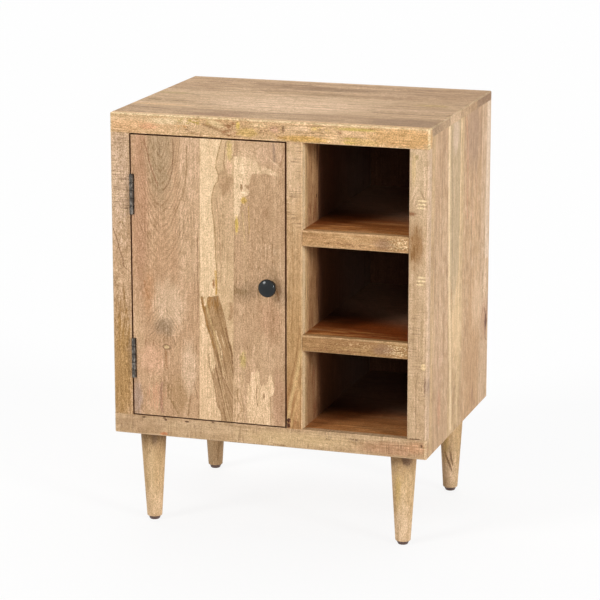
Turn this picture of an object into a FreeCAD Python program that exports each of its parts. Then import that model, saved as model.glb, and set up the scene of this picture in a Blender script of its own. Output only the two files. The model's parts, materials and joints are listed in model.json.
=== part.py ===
import FreeCAD, Part
import Sketcher
import os
import re

# A wooden storage side table: a case on four turned legs, with an inset door on the left that
# swings on two butt hinges, and three open cubbies on the right.
#
# X points to the right and Y to the back, as seen from the front, and Z points up. The origin is on
# the floor, halfway across the whole width and the whole depth, the door's knob included.

# Every size that can be set by itself, in millimetres.
SIZES = {
    # the case
    "case_width": 508.0,
    "case_depth": 380.0,
    "case_height": 510.0,
    "side_thickness": 31.0,
    "top_thickness": 31.0,
    "bottom_thickness": 31.0,
    "top_lip": 14.0,                # of the top, where it laps over the sides
    "lipping_depth": 14.0,          # front to back, of the strips that face the panels' edges
    "back_thickness": 10.0,
    "back_rabbet": 10.0,            # how far the back panel reaches over the other panels
    "divider_thickness": 25.5,
    "door_opening_width": 253.5,
    # the cubbies
    "shelf_thickness": 25.0,
    "housing_depth": 6.0,           # of the grooves that hold the ends of the shelves
    "top_cubby_height": 134.0,
    "middle_cubby_height": 139.0,
    # the door
    "door_thickness": 20.0,
    "door_gap": 2.0,                # at the hinges, the top and the bottom
    "door_swing_clearance": 1.0,    # from the divider to the free edge's path
    # the hinges
    "hinge_length": 63.5,
    "hinge_open_width": 32.0,
    "hinge_from_top": 94.4,         # from the case's top to the upper hinge
    "hinge_from_bottom": 91.8,      # from the case's bottom to the lower hinge
    "hinge_screw_spacing": 22.0,
    "leaf_thickness": 1.5,
    "barrel_diameter": 6.5,
    "barrel_notch_clearance": 0.4,
    "mortise_slack": 0.25,          # round the leaf that is let into the door
    "knuckle_gap": 0.3,
    "pin_diameter": 3.0,
    "pin_clearance": 0.05,          # all round the pin
    "pin_proud": 1.5,               # from the case's front to the pin's axis
    # the knob
    "knob_diameter": 28.0,
    "knob_projection": 25.0,
    "knob_dome_radius": 17.0,
    "knob_rim_height": 13.0,        # from the door to the widest part
    "knob_neck_diameter": 11.0,
    "knob_base_diameter": 16.0,
    "knob_base_height": 2.5,
    "knob_from_edge": 23.0,         # from the door's free edge to the knob's axis
    "knob_bore_depth": 14.0,
    "knob_screw_diameter": 4.0,
    "knob_screw_grip": 11.0,        # how far the screw reaches into the knob
    "knob_screw_head_diameter": 8.0,
    "knob_screw_head_height": 2.4,
    # the catch that holds the door shut
    "catch_from_divider": 45.0,     # to the middle of the catch
    "catch_width": 44.0,
    "catch_block_width": 26.0,
    "catch_height": 20.0,
    "catch_depth": 14.0,
    "catch_ear_thickness": 2.5,
    "catch_gap": 0.3,               # between the magnet and the strike plate
    "magnet_width": 20.0,
    "magnet_height": 11.0,
    "magnet_depth": 8.0,
    "magnet_cover": 2.5,            # of housing, below the magnet
    "strike_width": 24.0,
    "strike_height": 12.0,
    "strike_thickness": 1.5,
    # the legs and what they stand on
    "leg_height": 146.0,
    "leg_top_diameter": 42.0,
    "leg_foot_diameter": 24.0,
    "leg_foot_chamfer": 1.5,
    "leg_from_side": 48.0,          # from the case's side to the leg's axis
    "leg_from_front": 45.0,
    "leg_from_back": 45.0,
    "glide_height": 6.0,
    "glide_top_diameter": 20.0,
    "glide_foot_diameter": 15.0,
    "nail_diameter": 2.5,
    "nail_head_diameter": 7.0,
    "nail_head_height": 1.0,
    "nail_cover": 2.0,              # of glide, below the nail's head
    "nail_grip": 16.0,              # how far the nail reaches into the leg
    # the bolts that hold the legs
    "bolt_diameter": 8.0,
    "bolt_grip_in_leg": 30.0,
    "bolt_grip_in_insert": 18.0,
    "insert_diameter": 12.0,
    "insert_length": 20.0,
    # the wood screws: small ones for the hinges and the catch, and those of the back panel
    "screw_diameter": 3.0,
    "screw_head_diameter": 6.0,
    "screw_head_height": 1.5,
    "screw_length": 16.0,
    "back_screw_diameter": 3.5,
    "back_screw_head_diameter": 7.0,
    "back_screw_head_height": 2.0,
    "back_screw_length": 25.0,
    "back_screw_from_corner": 60.0,
    "back_screw_from_shelf": 15.0,  # above the lower shelf and below the upper one
    # the dowels in the case's joints
    "dowel_diameter": 8.0,
    "dowel_length": 30.0,
    "dowel_chamfer": 1.0,
    "dowel_from_edge": 80.0,        # from the panel's front or back edge
    # round every screw, bolt, nail and dowel, and past its end
    "fastener_clearance": 0.05,
    "hole_end_clearance": 0.5,
}

# Places worked out from the sizes. Each may use the sizes and the other places.
PLACES = {
    "left": "-case_width / 2",
    "right": "case_width / 2",
    "front": "(knob_projection - case_depth) / 2",
    "back": "front + case_depth",
    "case_bottom": "glide_height + leg_height",
    "case_top": "case_bottom + case_height",
    # behind the lippings
    "panel_front": "front + lipping_depth",
    "back_face": "back - back_thickness",
    # the inside of the case
    "inner_left": "left + side_thickness",
    "inner_right": "right - side_thickness",
    "inner_bottom": "case_bottom + bottom_thickness",
    "inner_top": "case_top - top_thickness",
    "side_top": "case_top - top_lip",
    "divider_left": "inner_left + door_opening_width",
    "divider_right": "divider_left + divider_thickness",
    "divider_middle": "divider_left + divider_thickness / 2",
    "upper_shelf_top": "inner_top - top_cubby_height",
    "upper_shelf_bottom": "upper_shelf_top - shelf_thickness",
    "lower_shelf_top": "upper_shelf_bottom - middle_cubby_height",
    "lower_shelf_bottom": "lower_shelf_top - shelf_thickness",
    # the hinges
    "barrel_radius": "barrel_diameter / 2",
    "pin_x": "inner_left + barrel_radius",
    "pin_y": "front - pin_proud",
    "door_leaf_seat": "pin_x + barrel_radius",
    "leaf_back": "pin_y + hinge_open_width / 2",
    "leaf_screw_y": "pin_y + (barrel_radius + hinge_open_width / 2) / 2",
    "upper_hinge_bottom": "case_top - hinge_from_top - hinge_length",
    "lower_hinge_bottom": "case_bottom + hinge_from_bottom",
    # the door, whose free edge clears the divider as it swings about the pin
    "door_left": "inner_left + door_gap",
    "door_back": "front + door_thickness",
    "door_bottom": "inner_bottom + door_gap",
    "door_top": "inner_top - door_gap",
    "swing_radius": "divider_left - pin_x - door_swing_clearance",
    "door_right": "pin_x + sqrt(swing_radius ^ 2 - (door_back - pin_y) ^ 2)",
    "knob_x": "door_right - knob_from_edge",
    "knob_z": "(door_bottom + door_top) / 2",
    # the catch
    "catch_x": "divider_left - catch_from_divider",
    "strike_back": "door_back + strike_thickness",
    "catch_front": "strike_back + catch_gap",
    "catch_bottom": "inner_top - catch_height",
    "magnet_bottom": "catch_bottom + magnet_cover",
    "magnet_z": "magnet_bottom + magnet_height / 2",
    "ear_screw_offset": "(catch_width + catch_block_width) / 4",
    # the dowels' places along the panels
    "dowel_front": "panel_front + dowel_from_edge",
    "dowel_middle": "(panel_front + back_face) / 2",
    "dowel_back": "back_face - dowel_from_edge",
    "top_dowel_z": "(inner_top + side_top) / 2",
    "bottom_dowel_z": "(case_bottom + inner_bottom) / 2",
}

# How far a cutting tool runs past the face that it cuts.
PAST = "1"

# The way that a turned piece, made along +Z, points once it is in place.
X_AXIS = FreeCAD.Vector(1, 0, 0)
Y_AXIS = FreeCAD.Vector(0, 1, 0)
UP = FreeCAD.Rotation()
TO_RIGHT = FreeCAD.Rotation(Y_AXIS, 90)
TO_LEFT = FreeCAD.Rotation(Y_AXIS, -90)
TO_FRONT = FreeCAD.Rotation(X_AXIS, 90)
TO_BACK = FreeCAD.Rotation(X_AXIS, -90)

doc = FreeCAD.newDocument("storage_side_table")
sheet = doc.addObject("Spreadsheet::Sheet", "Sizes")
for row, (alias, size) in enumerate(SIZES.items(), start=1):
    sheet.set(f"A{row}", alias)
    sheet.set(f"B{row}", str(size))
    sheet.setAlias(f"B{row}", alias)
doc.recompute()


def spelled(formula):
    """The formula with its places spelled out and its sizes read from the sheet."""

    def spell(match):
        word = match.group()
        if word in PLACES:
            return f"({spelled(PLACES[word])})"
        if word in SIZES:
            return f"Sizes.{word}"
        return word

    return re.sub(r"[a-z_]+", spell, formula)


def bind(thing, **formulas):
    """Binds properties of a document object to formulas."""
    for name, formula in formulas.items():
        thing.setExpression(name, spelled(formula))


def put(thing, x, y, z, way=UP):
    """Puts a document object's own origin at a place, pointing the given way."""
    thing.Placement = FreeCAD.Placement(FreeCAD.Vector(), way)
    thing.setExpression("Placement.Base.x", spelled(x))
    thing.setExpression("Placement.Base.y", spelled(y))
    thing.setExpression("Placement.Base.z", spelled(z))


def box(name, x, y, z):
    """A block between two places on each axis."""
    block = doc.addObject("Part::Box", name)
    bind(block, Length=f"{x[1]} - ({x[0]})", Width=f"{y[1]} - ({y[0]})", Height=f"{z[1]} - ({z[0]})")
    put(block, x[0], y[0], z[0])
    return block


def cylinder(name, radius, height, x, y, z, way=UP):
    """A round bar that starts at a place and runs the given way."""
    bar = doc.addObject("Part::Cylinder", name)
    bind(bar, Radius=radius, Height=height)
    put(bar, x, y, z, way)
    return bar


def fuse(name, *solids):
    """The solids joined into one."""
    joined = doc.addObject("Part::MultiFuse", name)
    joined.Shapes = list(solids)
    return joined


def cut(name, blank, *tools):
    """The blank with the tools cut out of it."""
    result = doc.addObject("Part::Cut", name)
    result.Base = blank
    result.Tool = tools[0] if len(tools) == 1 else fuse(f"{name}_cuts", *tools)
    return result


def turned(name, profile):
    """A body turned about Z. The profile lists the radius and height of each of its corners."""
    body = doc.addObject("PartDesign::Body", name)
    upright = next(part for part in body.Origin.OriginFeatures if part.Role == "XZ_Plane")
    sketch = body.newObject("Sketcher::SketchObject", f"{name}_profile")
    sketch.AttachmentSupport = [(upright, "")]
    sketch.MapMode = "FlatFace"
    corners = len(profile)
    # the lines start as a rough polygon, which the constraints then pull into shape
    rough = [FreeCAD.Vector(corner + 1, corner * corner % 5, 0) for corner in range(corners)]
    for corner in range(corners):
        sketch.addGeometry(Part.LineSegment(rough[corner], rough[(corner + 1) % corners]))
    for corner, (radius, height) in enumerate(profile):
        following = (corner + 1) % corners
        sketch.addConstraint(Sketcher.Constraint("Coincident", corner, 2, following, 1))
        across = sketch.addConstraint(Sketcher.Constraint("DistanceX", -1, 1, corner, 1, corner + 1))
        sketch.setExpression(f"Constraints[{across}]", spelled(radius))
        along = sketch.addConstraint(Sketcher.Constraint("DistanceY", -1, 1, corner, 1, corner + 1))
        sketch.setExpression(f"Constraints[{along}]", spelled(height))
    turning = body.newObject("PartDesign::Revolution", f"{name}_turning")
    turning.Profile = sketch
    turning.ReferenceAxis = (sketch, ["V_Axis"])
    turning.Angle = 360
    return body


def copies(name, template, spots):
    """Linked copies of a template: one at each spot, which is x, y, z and a way to point."""
    links = []
    for number, (x, y, z, way) in enumerate(spots, start=1):
        link = doc.addObject("App::Link", f"{name}_{number}")
        link.LinkedObject = template
        put(link, x, y, z, way)
        links.append(link)
    group = doc.addObject("Part::Compound", name)
    group.Links = links
    return group


# Fasteners. Each kind is one template with a hole to match, both made along +Z from the head.

def countersunk_screw(kind):
    """A countersunk wood screw and its hole."""
    shank = f"{kind}_diameter / 2"
    head = f"{kind}_head_diameter / 2"
    length = f"{kind}_length"
    head_height = f"{kind}_head_height"
    screw = turned(kind, [
        ("0", "0"),
        (head, "0"),
        (shank, head_height),
        (shank, f"{length} - {kind}_diameter"),
        ("0", length),
    ])
    hole = turned(f"{kind}_hole", [
        ("0", f"-{PAST}"),
        (f"{head} + fastener_clearance", f"-{PAST}"),
        (f"{head} + fastener_clearance", "0"),
        (f"{shank} + fastener_clearance", f"{head_height} + fastener_clearance"),
        (f"{shank} + fastener_clearance", f"{length} + hole_end_clearance"),
        ("0", f"{length} + hole_end_clearance"),
    ])
    return screw, hole


def dowel_and_hole():
    """A dowel with chamfered ends and its hole, both centred on their own origin."""
    radius = "dowel_diameter / 2"
    half = "dowel_length / 2"
    dowel = turned("dowel", [
        ("0", f"-{half}"),
        (f"{radius} - dowel_chamfer", f"-{half}"),
        (radius, f"dowel_chamfer - {half}"),
        (radius, f"{half} - dowel_chamfer"),
        (f"{radius} - dowel_chamfer", half),
        ("0", half),
    ])
    hole = turned("dowel_hole", [
        ("0", f"-{half} - hole_end_clearance"),
        (f"{radius} + fastener_clearance", f"-{half} - hole_end_clearance"),
        (f"{radius} + fastener_clearance", f"{half} + hole_end_clearance"),
        ("0", f"{half} + hole_end_clearance"),
    ])
    return dowel, hole


screw, screw_hole = countersunk_screw("screw")
back_screw, back_screw_hole = countersunk_screw("back_screw")
dowel, dowel_hole = dowel_and_hole()


# Dowels

dowel_rows = ("dowel_front", "dowel_middle", "dowel_back")
side_dowel_spots = [
    (x, y, z, TO_RIGHT)
    for x in ("inner_left", "inner_right")
    for z in ("bottom_dowel_z", "top_dowel_z")
    for y in dowel_rows
]
divider_dowel_spots = [
    ("divider_middle", y, z, UP)
    for z in ("inner_bottom", "inner_top")
    for y in dowel_rows
]
side_dowels = copies("side_dowels", dowel, side_dowel_spots)
side_dowel_holes = copies("side_dowel_holes", dowel_hole, side_dowel_spots)
divider_dowels = copies("divider_dowels", dowel, divider_dowel_spots)
divider_dowel_holes = copies("divider_dowel_holes", dowel_hole, divider_dowel_spots)


# Screws of the back panel: four up each side, clear of the shelves' housings, and three along the
# top and the bottom

def evenly(low, high, count):
    """Evenly spaced places from low to high."""
    return [f"{low} + ({high} - ({low})) * {step} / {count - 1}" for step in range(count)]


screw_columns = ("inner_left - back_rabbet / 2", "inner_right + back_rabbet / 2")
screw_rows = ("inner_bottom - back_rabbet / 2", "inner_top + back_rabbet / 2")
up_the_sides = (
    "inner_bottom + back_screw_from_corner",
    "lower_shelf_top + back_screw_from_shelf",
    "upper_shelf_bottom - back_screw_from_shelf",
    "inner_top - back_screw_from_corner",
)
along_the_edges = evenly("inner_left + back_screw_from_corner", "inner_right - back_screw_from_corner", 3)
back_screw_spots = [(x, "back", z, TO_FRONT) for x in screw_columns for z in up_the_sides]
back_screw_spots += [(x, "back", z, TO_FRONT) for z in screw_rows for x in along_the_edges]
back_panel_screws = copies("back_panel_screws", back_screw, back_screw_spots)
back_panel_screw_holes = copies("back_panel_screw_holes", back_screw_hole, back_screw_spots)


# Legs, with the bolts, inserts, glides and nails that go with them

def hanger_bolt():
    """A bolt with a wood thread below its origin and a machine thread above."""
    radius = "bolt_diameter / 2"
    return turned("hanger_bolt", [
        ("0", "-bolt_grip_in_leg"),
        (radius, "bolt_diameter / 2 - bolt_grip_in_leg"),
        (radius, "bolt_grip_in_insert"),
        ("0", "bolt_grip_in_insert"),
    ])


def threaded_insert():
    """A plain sleeve that takes the bolt, and the hole that it is driven into."""
    bore = "bolt_diameter / 2 + fastener_clearance"
    outside = "insert_diameter / 2"
    sleeve = turned("threaded_insert", [
        (bore, "0"),
        (outside, "0"),
        (outside, "insert_length"),
        (bore, "insert_length"),
    ])
    hole = turned("threaded_insert_hole", [
        ("0", f"-{PAST}"),
        (f"{outside} + fastener_clearance", f"-{PAST}"),
        (f"{outside} + fastener_clearance", "max(insert_length; bolt_grip_in_insert) + hole_end_clearance"),
        ("0", "max(insert_length; bolt_grip_in_insert) + hole_end_clearance"),
    ])
    return sleeve, hole


def glide_nail():
    """A nail whose head is moulded into the glide."""
    return turned("glide_nail", [
        ("0", "nail_cover"),
        ("nail_head_diameter / 2", "nail_cover"),
        ("nail_head_diameter / 2", "nail_cover + nail_head_height"),
        ("nail_diameter / 2", "nail_cover + nail_head_height"),
        ("nail_diameter / 2", "glide_height + nail_grip - nail_diameter"),
        ("0", "glide_height + nail_grip"),
    ])


def leg(name):
    """A tapered leg, bored for its bolt at the top and for its glide's nail at the foot."""
    nail_hole = "nail_diameter / 2 + fastener_clearance"
    nail_hole_top = "nail_grip + hole_end_clearance"
    bolt_hole = "bolt_diameter / 2 + fastener_clearance"
    bolt_hole_bottom = "leg_height - bolt_grip_in_leg - hole_end_clearance"
    return turned(name, [
        ("0", nail_hole_top),
        (nail_hole, nail_hole_top),
        (nail_hole, "0"),
        ("leg_foot_diameter / 2 - leg_foot_chamfer", "0"),
        ("leg_foot_diameter / 2", "leg_foot_chamfer"),
        ("leg_top_diameter / 2", "leg_height"),
        (bolt_hole, "leg_height"),
        (bolt_hole, bolt_hole_bottom),
        ("0", bolt_hole_bottom),
    ])


def glide(name):
    """A tapered plastic foot, moulded round the head of its nail."""
    shank = "nail_diameter / 2 + fastener_clearance"
    head = "nail_head_diameter / 2 + fastener_clearance"
    head_bottom = "nail_cover - fastener_clearance"
    head_top = "nail_cover + nail_head_height + fastener_clearance"
    return turned(name, [
        ("0", "0"),
        ("glide_foot_diameter / 2", "0"),
        ("glide_top_diameter / 2", "glide_height"),
        (shank, "glide_height"),
        (shank, head_top),
        (head, head_top),
        (head, head_bottom),
        ("0", head_bottom),
    ])


legs = []
glides = []
leg_spots = []
for depth, y in (("front", "front + leg_from_front"), ("rear", "back - leg_from_back")):
    for side, x in (("left", "left + leg_from_side"), ("right", "right - leg_from_side")):
        leg_spots.append((x, y))
        table_leg = leg(f"{depth}_{side}_leg")
        put(table_leg, x, y, "glide_height")
        legs.append(table_leg)
        leg_glide = glide(f"{depth}_{side}_glide")
        put(leg_glide, x, y, "0")
        glides.append(leg_glide)

insert, insert_hole = threaded_insert()
bolt_spots = [(x, y, "case_bottom", UP) for x, y in leg_spots]
nail_spots = [(x, y, "0", UP) for x, y in leg_spots]
hanger_bolts = copies("hanger_bolts", hanger_bolt(), bolt_spots)
threaded_inserts = copies("threaded_inserts", insert, bolt_spots)
insert_holes = copies("insert_holes", insert_hole, bolt_spots)
glide_nails = copies("glide_nails", glide_nail(), nail_spots)


# Hinges. Each has a leaf screwed to the inside of the case and a leaf let into the door's edge.

KNUCKLES = 5
FRAME_KNUCKLES = (0, 2, 4)
DOOR_KNUCKLES = (1, 3)
HINGES = {"upper_hinge": "upper_hinge_bottom", "lower_hinge": "lower_hinge_bottom"}


def barrel_bar(name, radius, bottom, height="hinge_length"):
    """A round bar on the pin's axis."""
    return cylinder(name, radius, height, "pin_x", "pin_y", bottom)


def knuckle_room(name, number, bottom):
    """The space cut from one leaf for a knuckle of the other."""
    low = f"{bottom} + hinge_length * {number} / {KNUCKLES} - knuckle_gap / 2"
    return box(
        f"{name}_room_{number}",
        (f"pin_x - barrel_radius - {PAST}", f"pin_x + barrel_radius + {PAST}"),
        (f"pin_y - barrel_radius - {PAST}", "pin_y + barrel_radius + knuckle_gap"),
        (low, f"{low} + hinge_length / {KNUCKLES} + knuckle_gap"),
    )


def hinge_leaf(name, x, bottom, other_knuckles, screw_holes):
    """A plate with its share of the knuckles."""
    plate = box(f"{name}_plate", x, ("pin_y", "leaf_back"), (bottom, f"{bottom} + hinge_length"))
    barrel = barrel_bar(f"{name}_barrel", "barrel_radius", bottom)
    bore = barrel_bar(f"{name}_bore", "pin_diameter / 2 + pin_clearance", bottom)
    rooms = [knuckle_room(name, number, bottom) for number in other_knuckles]
    return cut(name, fuse(f"{name}_blank", plate, barrel), bore, screw_holes, *rooms)


def hinge_pin(name, bottom):
    """A plain pin, as long as the hinge."""
    pin = turned(name, [
        ("0", "0"),
        ("pin_diameter / 2", "0"),
        ("pin_diameter / 2", "hinge_length"),
        ("0", "hinge_length"),
    ])
    put(pin, "pin_x", "pin_y", bottom)
    return pin


def hinge_mortise(name, bottom):
    """The recess in the door's edge for a leaf, with a hollow round the barrel."""
    low = f"{bottom} - mortise_slack"
    recess = box(
        f"{name}_recess",
        (f"door_left - {PAST}", "door_leaf_seat"),
        (f"front - {PAST}", "leaf_back + mortise_slack"),
        (low, f"{bottom} + hinge_length + mortise_slack"),
    )
    hollow = barrel_bar(
        f"{name}_hollow",
        "barrel_radius + barrel_notch_clearance",
        low,
        "hinge_length + 2 * mortise_slack",
    )
    return fuse(f"{name}_mortise", recess, hollow)


hinge_screw_heights = [
    f"{bottom} + hinge_length / 2 + ({step} * hinge_screw_spacing)"
    for bottom in HINGES.values()
    for step in (-1, 0, 1)
]
frame_screw_spots = [
    ("inner_left + leaf_thickness", "leaf_screw_y", z, TO_LEFT) for z in hinge_screw_heights
]
door_screw_spots = [
    ("door_leaf_seat - leaf_thickness", "leaf_screw_y", z, TO_RIGHT) for z in hinge_screw_heights
]
hinge_frame_screws = copies("hinge_frame_screws", screw, frame_screw_spots)
hinge_frame_screw_holes = copies("hinge_frame_screw_holes", screw_hole, frame_screw_spots)
hinge_door_screws = copies("hinge_door_screws", screw, door_screw_spots)
hinge_door_screw_holes = copies("hinge_door_screw_holes", screw_hole, door_screw_spots)

hinge_pieces = []
mortises = []
for hinge, hinge_bottom in HINGES.items():
    frame_leaf = hinge_leaf(
        f"{hinge}_frame_leaf",
        ("inner_left", "inner_left + leaf_thickness"),
        hinge_bottom,
        DOOR_KNUCKLES,
        hinge_frame_screw_holes,
    )
    door_leaf = hinge_leaf(
        f"{hinge}_door_leaf",
        ("door_leaf_seat - leaf_thickness", "door_leaf_seat"),
        hinge_bottom,
        FRAME_KNUCKLES,
        hinge_door_screw_holes,
    )
    hinge_pieces += [frame_leaf, door_leaf, hinge_pin(f"{hinge}_pin", hinge_bottom)]
    mortises.append(hinge_mortise(hinge, hinge_bottom))


# Knob and its screw, both made along +Z from the door's front face

def domed_knob():
    """A mushroom knob: a flat base, a neck that widens to the rim, and a dome."""
    base = cylinder("knob_base", "knob_base_diameter / 2", "knob_base_height", "0", "0", "0")
    neck = doc.addObject("Part::Cone", "knob_neck")
    bind(neck, Radius1="knob_neck_diameter / 2", Radius2="knob_diameter / 2", Height="knob_rim_height")
    cap_height = "knob_projection - knob_rim_height"
    cap = cylinder("knob_cap", "knob_diameter / 2", cap_height, "0", "0", "knob_rim_height")
    dome = doc.addObject("Part::Sphere", "knob_dome")
    bind(dome, Radius="knob_dome_radius")
    put(dome, "0", "0", "knob_projection - knob_dome_radius")
    head = doc.addObject("Part::Common", "knob_head")
    head.Base = cap
    head.Tool = dome
    bore = cylinder(
        "knob_bore",
        "knob_screw_diameter / 2 + fastener_clearance",
        f"knob_bore_depth + {PAST}",
        "0",
        "0",
        f"-{PAST}",
    )
    knob = cut("knob", fuse("knob_blank", base, neck, head), bore)
    put(knob, "knob_x", "front", "knob_z", TO_FRONT)
    return knob


def pan_head_screw():
    """The screw that holds the knob, through the door from behind, and its hole."""
    shank = "knob_screw_diameter / 2"
    head = "knob_screw_head_diameter / 2"
    screw_body = turned("knob_screw", [
        ("0", "-door_thickness - knob_screw_head_height"),
        (head, "-door_thickness - knob_screw_head_height"),
        (head, "-door_thickness"),
        (shank, "-door_thickness"),
        (shank, "knob_screw_grip"),
        ("0", "knob_screw_grip"),
    ])
    put(screw_body, "knob_x", "front", "knob_z", TO_FRONT)
    hole = cylinder(
        "knob_screw_hole",
        "knob_screw_diameter / 2 + fastener_clearance",
        f"door_thickness + 2 * {PAST}",
        "knob_x",
        f"front - {PAST}",
        "knob_z",
        TO_BACK,
    )
    return screw_body, hole


knob = domed_knob()
knob_screw, knob_screw_hole = pan_head_screw()


# Magnetic catch under the top panel, and the strike plate behind the door

def around(middle, width):
    """The two ends of a width about a middle."""
    return (f"{middle} - {width} / 2", f"{middle} + {width} / 2")


ear_spots = [
    (f"catch_x + {side} * ear_screw_offset", "catch_front + catch_depth / 2",
     "inner_top - catch_ear_thickness", UP)
    for side in (-1, 1)
]
catch_screws = copies("catch_screws", screw, ear_spots)
catch_screw_holes = copies("catch_screw_holes", screw_hole, ear_spots)

catch_y = ("catch_front", "catch_front + catch_depth")
ear_z = ("inner_top - catch_ear_thickness", "inner_top")
ears = box("catch_ears", around("catch_x", "catch_width"), catch_y, ear_z)
block = box("catch_block", around("catch_x", "catch_block_width"), catch_y, ("catch_bottom", "inner_top"))
magnet_x = around("catch_x", "magnet_width")
magnet_z = ("magnet_bottom", "magnet_bottom + magnet_height")
magnet_y = ("catch_front", "catch_front + magnet_depth")
magnet_pocket = box("magnet_pocket", magnet_x, (f"catch_front - {PAST}", magnet_y[1]), magnet_z)
catch_housing = cut("catch_housing", fuse("catch_blank", ears, block), magnet_pocket, catch_screw_holes)
catch_magnet = box("catch_magnet", magnet_x, magnet_y, magnet_z)

strike_spot = [("catch_x", "strike_back", "magnet_z", TO_FRONT)]
strike_screw = copies("strike_screw", screw, strike_spot)
strike_screw_hole = copies("strike_screw_hole", screw_hole, strike_spot)
strike_blank = box(
    "strike_blank",
    around("catch_x", "strike_width"),
    ("door_back", "strike_back"),
    around("magnet_z", "strike_height"),
)
strike_plate = cut("strike_plate", strike_blank, strike_screw_hole)


# Door

door_z = ("door_bottom", "door_top")
door_blank = box("door_blank", ("door_left", "door_right"), ("front", "door_back"), door_z)
door_panel = cut(
    "door_panel",
    door_blank,
    *mortises,
    hinge_door_screw_holes,
    knob_screw_hole,
    strike_screw_hole,
)


# Case: the panels, the shelves in their housings, and the lippings on the front edges

panel_y = ("panel_front", "back")
lipping_y = ("front", "panel_front")
back_x = ("inner_left - back_rabbet", "inner_right + back_rabbet")
back_z = ("inner_bottom - back_rabbet", "inner_top + back_rabbet")
rabbet = box("rabbet", back_x, ("back_face", f"back + {PAST}"), back_z)

back_blank = box("back_blank", back_x, ("back_face", "back"), back_z)
back_panel = cut("back_panel", back_blank, back_panel_screw_holes)

top_blank = box("top_blank", ("left", "right"), panel_y, ("inner_top", "case_top"))
shoulder_y = (f"panel_front - {PAST}", f"back + {PAST}")
shoulder_z = (f"inner_top - {PAST}", "side_top")
left_shoulder = box("left_shoulder", (f"left - {PAST}", "inner_left"), shoulder_y, shoulder_z)
right_shoulder = box("right_shoulder", ("inner_right", f"right + {PAST}"), shoulder_y, shoulder_z)
top_panel = cut(
    "top_panel",
    top_blank,
    left_shoulder,
    right_shoulder,
    rabbet,
    side_dowel_holes,
    divider_dowel_holes,
    back_panel_screw_holes,
    catch_screw_holes,
)

bottom_blank = box("bottom_blank", ("inner_left", "inner_right"), panel_y, ("case_bottom", "inner_bottom"))
bottom_panel = cut(
    "bottom_panel",
    bottom_blank,
    rabbet,
    side_dowel_holes,
    divider_dowel_holes,
    back_panel_screw_holes,
    insert_holes,
)


def shelf(name, bottom, top):
    """A shelf, which is housed at both ends, and the lipping between the uprights in front of it."""
    housed_x = ("divider_right - housing_depth", "inner_right + housing_depth")
    board = box(name, housed_x, ("panel_front", "back_face"), (bottom, top))
    lipping = box(f"{name}_lipping", ("divider_right", "inner_right"), lipping_y, (bottom, top))
    return board, lipping


upper_shelf, upper_shelf_lipping = shelf("upper_shelf", "upper_shelf_bottom", "upper_shelf_top")
lower_shelf, lower_shelf_lipping = shelf("lower_shelf", "lower_shelf_bottom", "lower_shelf_top")

side_z = ("case_bottom", "side_top")
left_side_blank = box("left_side_blank", ("left", "inner_left"), panel_y, side_z)
left_side_panel = cut(
    "left_side_panel",
    left_side_blank,
    rabbet,
    side_dowel_holes,
    back_panel_screw_holes,
    hinge_frame_screw_holes,
)
right_side_blank = box("right_side_blank", ("inner_right", "right"), panel_y, side_z)
right_side_panel = cut(
    "right_side_panel",
    right_side_blank,
    rabbet,
    side_dowel_holes,
    back_panel_screw_holes,
    upper_shelf,
    lower_shelf,
)
opening_z = ("inner_bottom", "inner_top")
divider_x = ("divider_left", "divider_right")
divider_blank = box("divider_blank", divider_x, ("panel_front", "back_face"), opening_z)
divider_panel = cut("divider_panel", divider_blank, divider_dowel_holes, upper_shelf, lower_shelf)

top_rail = box("top_rail", ("left", "right"), lipping_y, ("inner_top", "case_top"))
bottom_rail = box("bottom_rail", ("left", "right"), lipping_y, ("case_bottom", "inner_bottom"))
left_stile_blank = box("left_stile_blank", ("left", "inner_left"), lipping_y, opening_z)
left_stile = cut("left_stile", left_stile_blank, hinge_frame_screw_holes)
right_stile = box("right_stile", ("inner_right", "right"), lipping_y, opening_z)
divider_lipping = box("divider_lipping", divider_x, lipping_y, opening_z)


# Check and export

pieces = [
    top_panel, bottom_panel, left_side_panel, right_side_panel, back_panel, divider_panel,
    upper_shelf, lower_shelf, upper_shelf_lipping, lower_shelf_lipping,
    top_rail, bottom_rail, left_stile, right_stile, divider_lipping,
    door_panel, knob, knob_screw, strike_plate, strike_screw,
    catch_housing, catch_magnet, catch_screws,
    hinge_frame_screws, hinge_door_screws, side_dowels, divider_dowels, back_panel_screws,
    hanger_bolts, threaded_inserts, glide_nails,
    *hinge_pieces, *legs, *glides,
]

doc.recompute()
failed = [thing.Label for thing in doc.Objects if {"Invalid", "Error"} & set(thing.State)]
failed += [piece.Label for piece in pieces if piece.Shape.isNull() or not piece.Shape.isValid()]
if failed:
    raise RuntimeError(f"these did not build: {', '.join(failed)}")

os.makedirs("parts", exist_ok=True)
for piece in pieces:
    piece.Shape.exportStep(f"parts/{piece.Label}.step")
    print(f"{piece.Label}: {len(piece.Shape.Solids)} solid(s), {piece.Shape.Volume:.0f} mm3")
print(f"{len(pieces)} pieces")
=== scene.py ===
import json
import math

import bmesh
import bpy
from mathutils import Matrix, Vector, noise


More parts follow.
